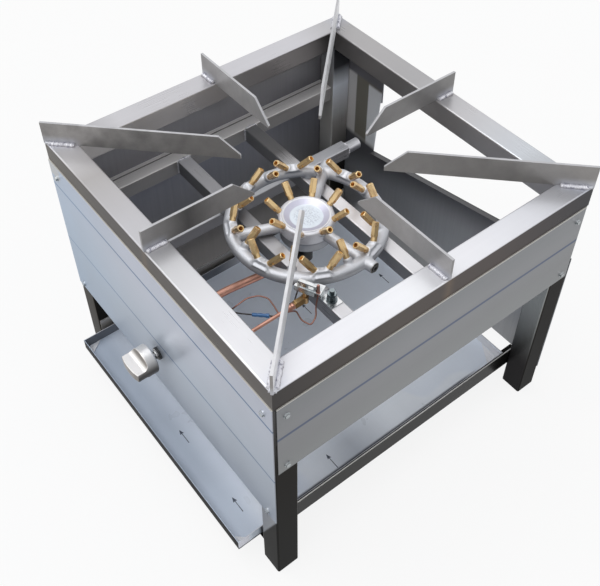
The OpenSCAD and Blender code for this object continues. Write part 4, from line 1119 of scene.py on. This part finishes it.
def tray_film():
    """Film that has lifted off the tray's floor in three of its corners."""
    corners = [
        [(247.8, -337.6), (226, -337.6), (248.2, -311)],
        [(-247.8, -337.6), (-226, -337.8), (-248.2, -309)],
        [(247.6, 253.6), (203, 253.6), (247.8, 224)],
    ]
    form = bmesh.new()
    steps = 8
    for corner, left, right in corners:
        corner, left, right = (Vector((*point, TRAY_FLOOR)) for point in (corner, left, right))
        low, high = {}, {}
        for i in range(steps + 1):
            for j in range(steps + 1 - i):
                u, v = i / steps, j / steps
                point = corner + (left - corner) * u + (right - corner) * v
                lift = 0.15 + 1.6 * (u + v) ** 2 * (0.7 + 0.5 * noise.noise(point * 0.11))
                low[i, j] = form.verts.new(point + lift * UP)
                high[i, j] = form.verts.new(point + (lift + FILM_T) * UP)
        for grid in (low, high):
            for i in range(steps):
                for j in range(steps - i):
                    a, b, c = grid[i, j], grid[i + 1, j], grid[i, j + 1]
                    form.faces.new((a, b, c))
                    if i + j < steps - 1:
                        form.faces.new((b, grid[i + 1, j + 1], c))
        edge = [(k, 0) for k in range(steps)] + [(steps - k, k) for k in range(steps)]
        edge += [(0, steps - k) for k in range(steps)]
        for here, there in zip(edge, edge[1:] + edge[:1]):
            form.faces.new((low[here], low[there], high[there], high[here]))
    piece("tray_film", form, FILM, "tray", 60)


cast_burner()
burner_cap()
jet_orifices()
socket_rims()
pipes()
capillary()
ignition()
pilot_fittings()
rest_welds(bar_welds())
knob()
tray_print()
tray_film()


def camera():
    """The photograph's view: from the front right, well above the frame."""
    data = bpy.data.cameras.new("stove_view")
    data.sensor_width = 36
    data.lens = 53.685
    data.shift_y = -0.105
    data.clip_start = 0.05
    view = bpy.data.objects.new("stove_view", data)
    view.location = (0.80426, -0.64972, 1.40960)
    aim = Vector((0.00804, -0.02956, 0.380)) - view.location
    view.rotation_euler = aim.to_track_quat("-Z", "Y").to_euler()
    bpy.context.scene.collection.objects.link(view)
    bpy.context.scene.camera = view


def add_node(tree, kind, inputs):
    """Adds a node to a tree of the studio, with what its sockets take."""
    node = tree.nodes.new("ShaderNode" + kind)
    for label, value in inputs.items():
        if isinstance(value, bpy.types.NodeSocket):
            tree.links.new(value, node.inputs[label])
        else:
            node.inputs[label].default_value = value
    return node


def seen_white(tree):
    """1 for the rays of the camera, of gloss and of glass, which see a white studio."""
    rays = add_node(tree, "LightPath", {}).outputs
    total = rays["Is Camera Ray"]
    for kind in ("Is Glossy Ray", "Is Transmission Ray"):
        either = add_node(tree, "Math", {0: total, 1: rays[kind]})
        either.operation = "MAXIMUM"
        total = either.outputs[0]
    return total


def surroundings():
    """White as seen, and a soft light that is a little blue."""
    world = bpy.data.worlds.new("studio_light")
    world.use_nodes = True
    bpy.context.scene.world = world
    tree = world.node_tree
    tree.nodes.clear()
    soft = add_node(tree, "Background", {"Color": (0.97, 0.985, 1, 1), "Strength": 0.62})
    white = add_node(tree, "Background", {"Color": (1, 1, 1, 1)})
    choice = add_node(tree, "MixShader", {
        0: seen_white(tree), 1: soft.outputs[0], 2: white.outputs[0]})
    add_node(tree, "OutputWorld", {"Surface": choice.outputs[0]})


def floor():
    """Pale floor that keeps a soft shadow."""
    material = bpy.data.materials.new("studio_floor")
    material.use_nodes = True
    tree = material.node_tree
    tree.nodes.clear()
    matt = add_node(tree, "BsdfDiffuse", {"Color": (0.82, 0.82, 0.82, 1)})
    glow = add_node(tree, "Emission", {"Color": (1, 1, 1, 1)})
    share = add_node(tree, "Math", {0: seen_white(tree), 1: 0.86})
    share.operation = "MULTIPLY"
    blend = add_node(tree, "MixShader", {
        0: share.outputs[0], 1: matt.outputs[0], 2: glow.outputs[0]})
    add_node(tree, "OutputMaterial", {"Surface": blend.outputs[0]})
    form = bmesh.new()
    bmesh.ops.create_circle(form, cap_ends=True, segments=96, radius=9)
    mesh = bpy.data.meshes.new("floor")
    form.to_mesh(mesh)
    form.free()
    mesh.materials.append(material)
    plane = bpy.data.objects.new("floor", mesh)
    bpy.context.scene.collection.objects.link(plane)


def sun():
    """The studio's one directed light."""
    lamp = bpy.data.lights.new("soft_sun", "SUN")
    lamp.energy = 1.2
    lamp.angle = math.radians(50)
    thing = bpy.data.objects.new("soft_sun", lamp)
    thing.rotation_euler = Vector((0.20, 0.28, -0.94)).to_track_quat("-Z", "Y").to_euler()
    bpy.context.scene.collection.objects.link(thing)


camera()
surroundings()
floor()
sun()
bpy.context.scene.view_settings.view_transform = "Standard"
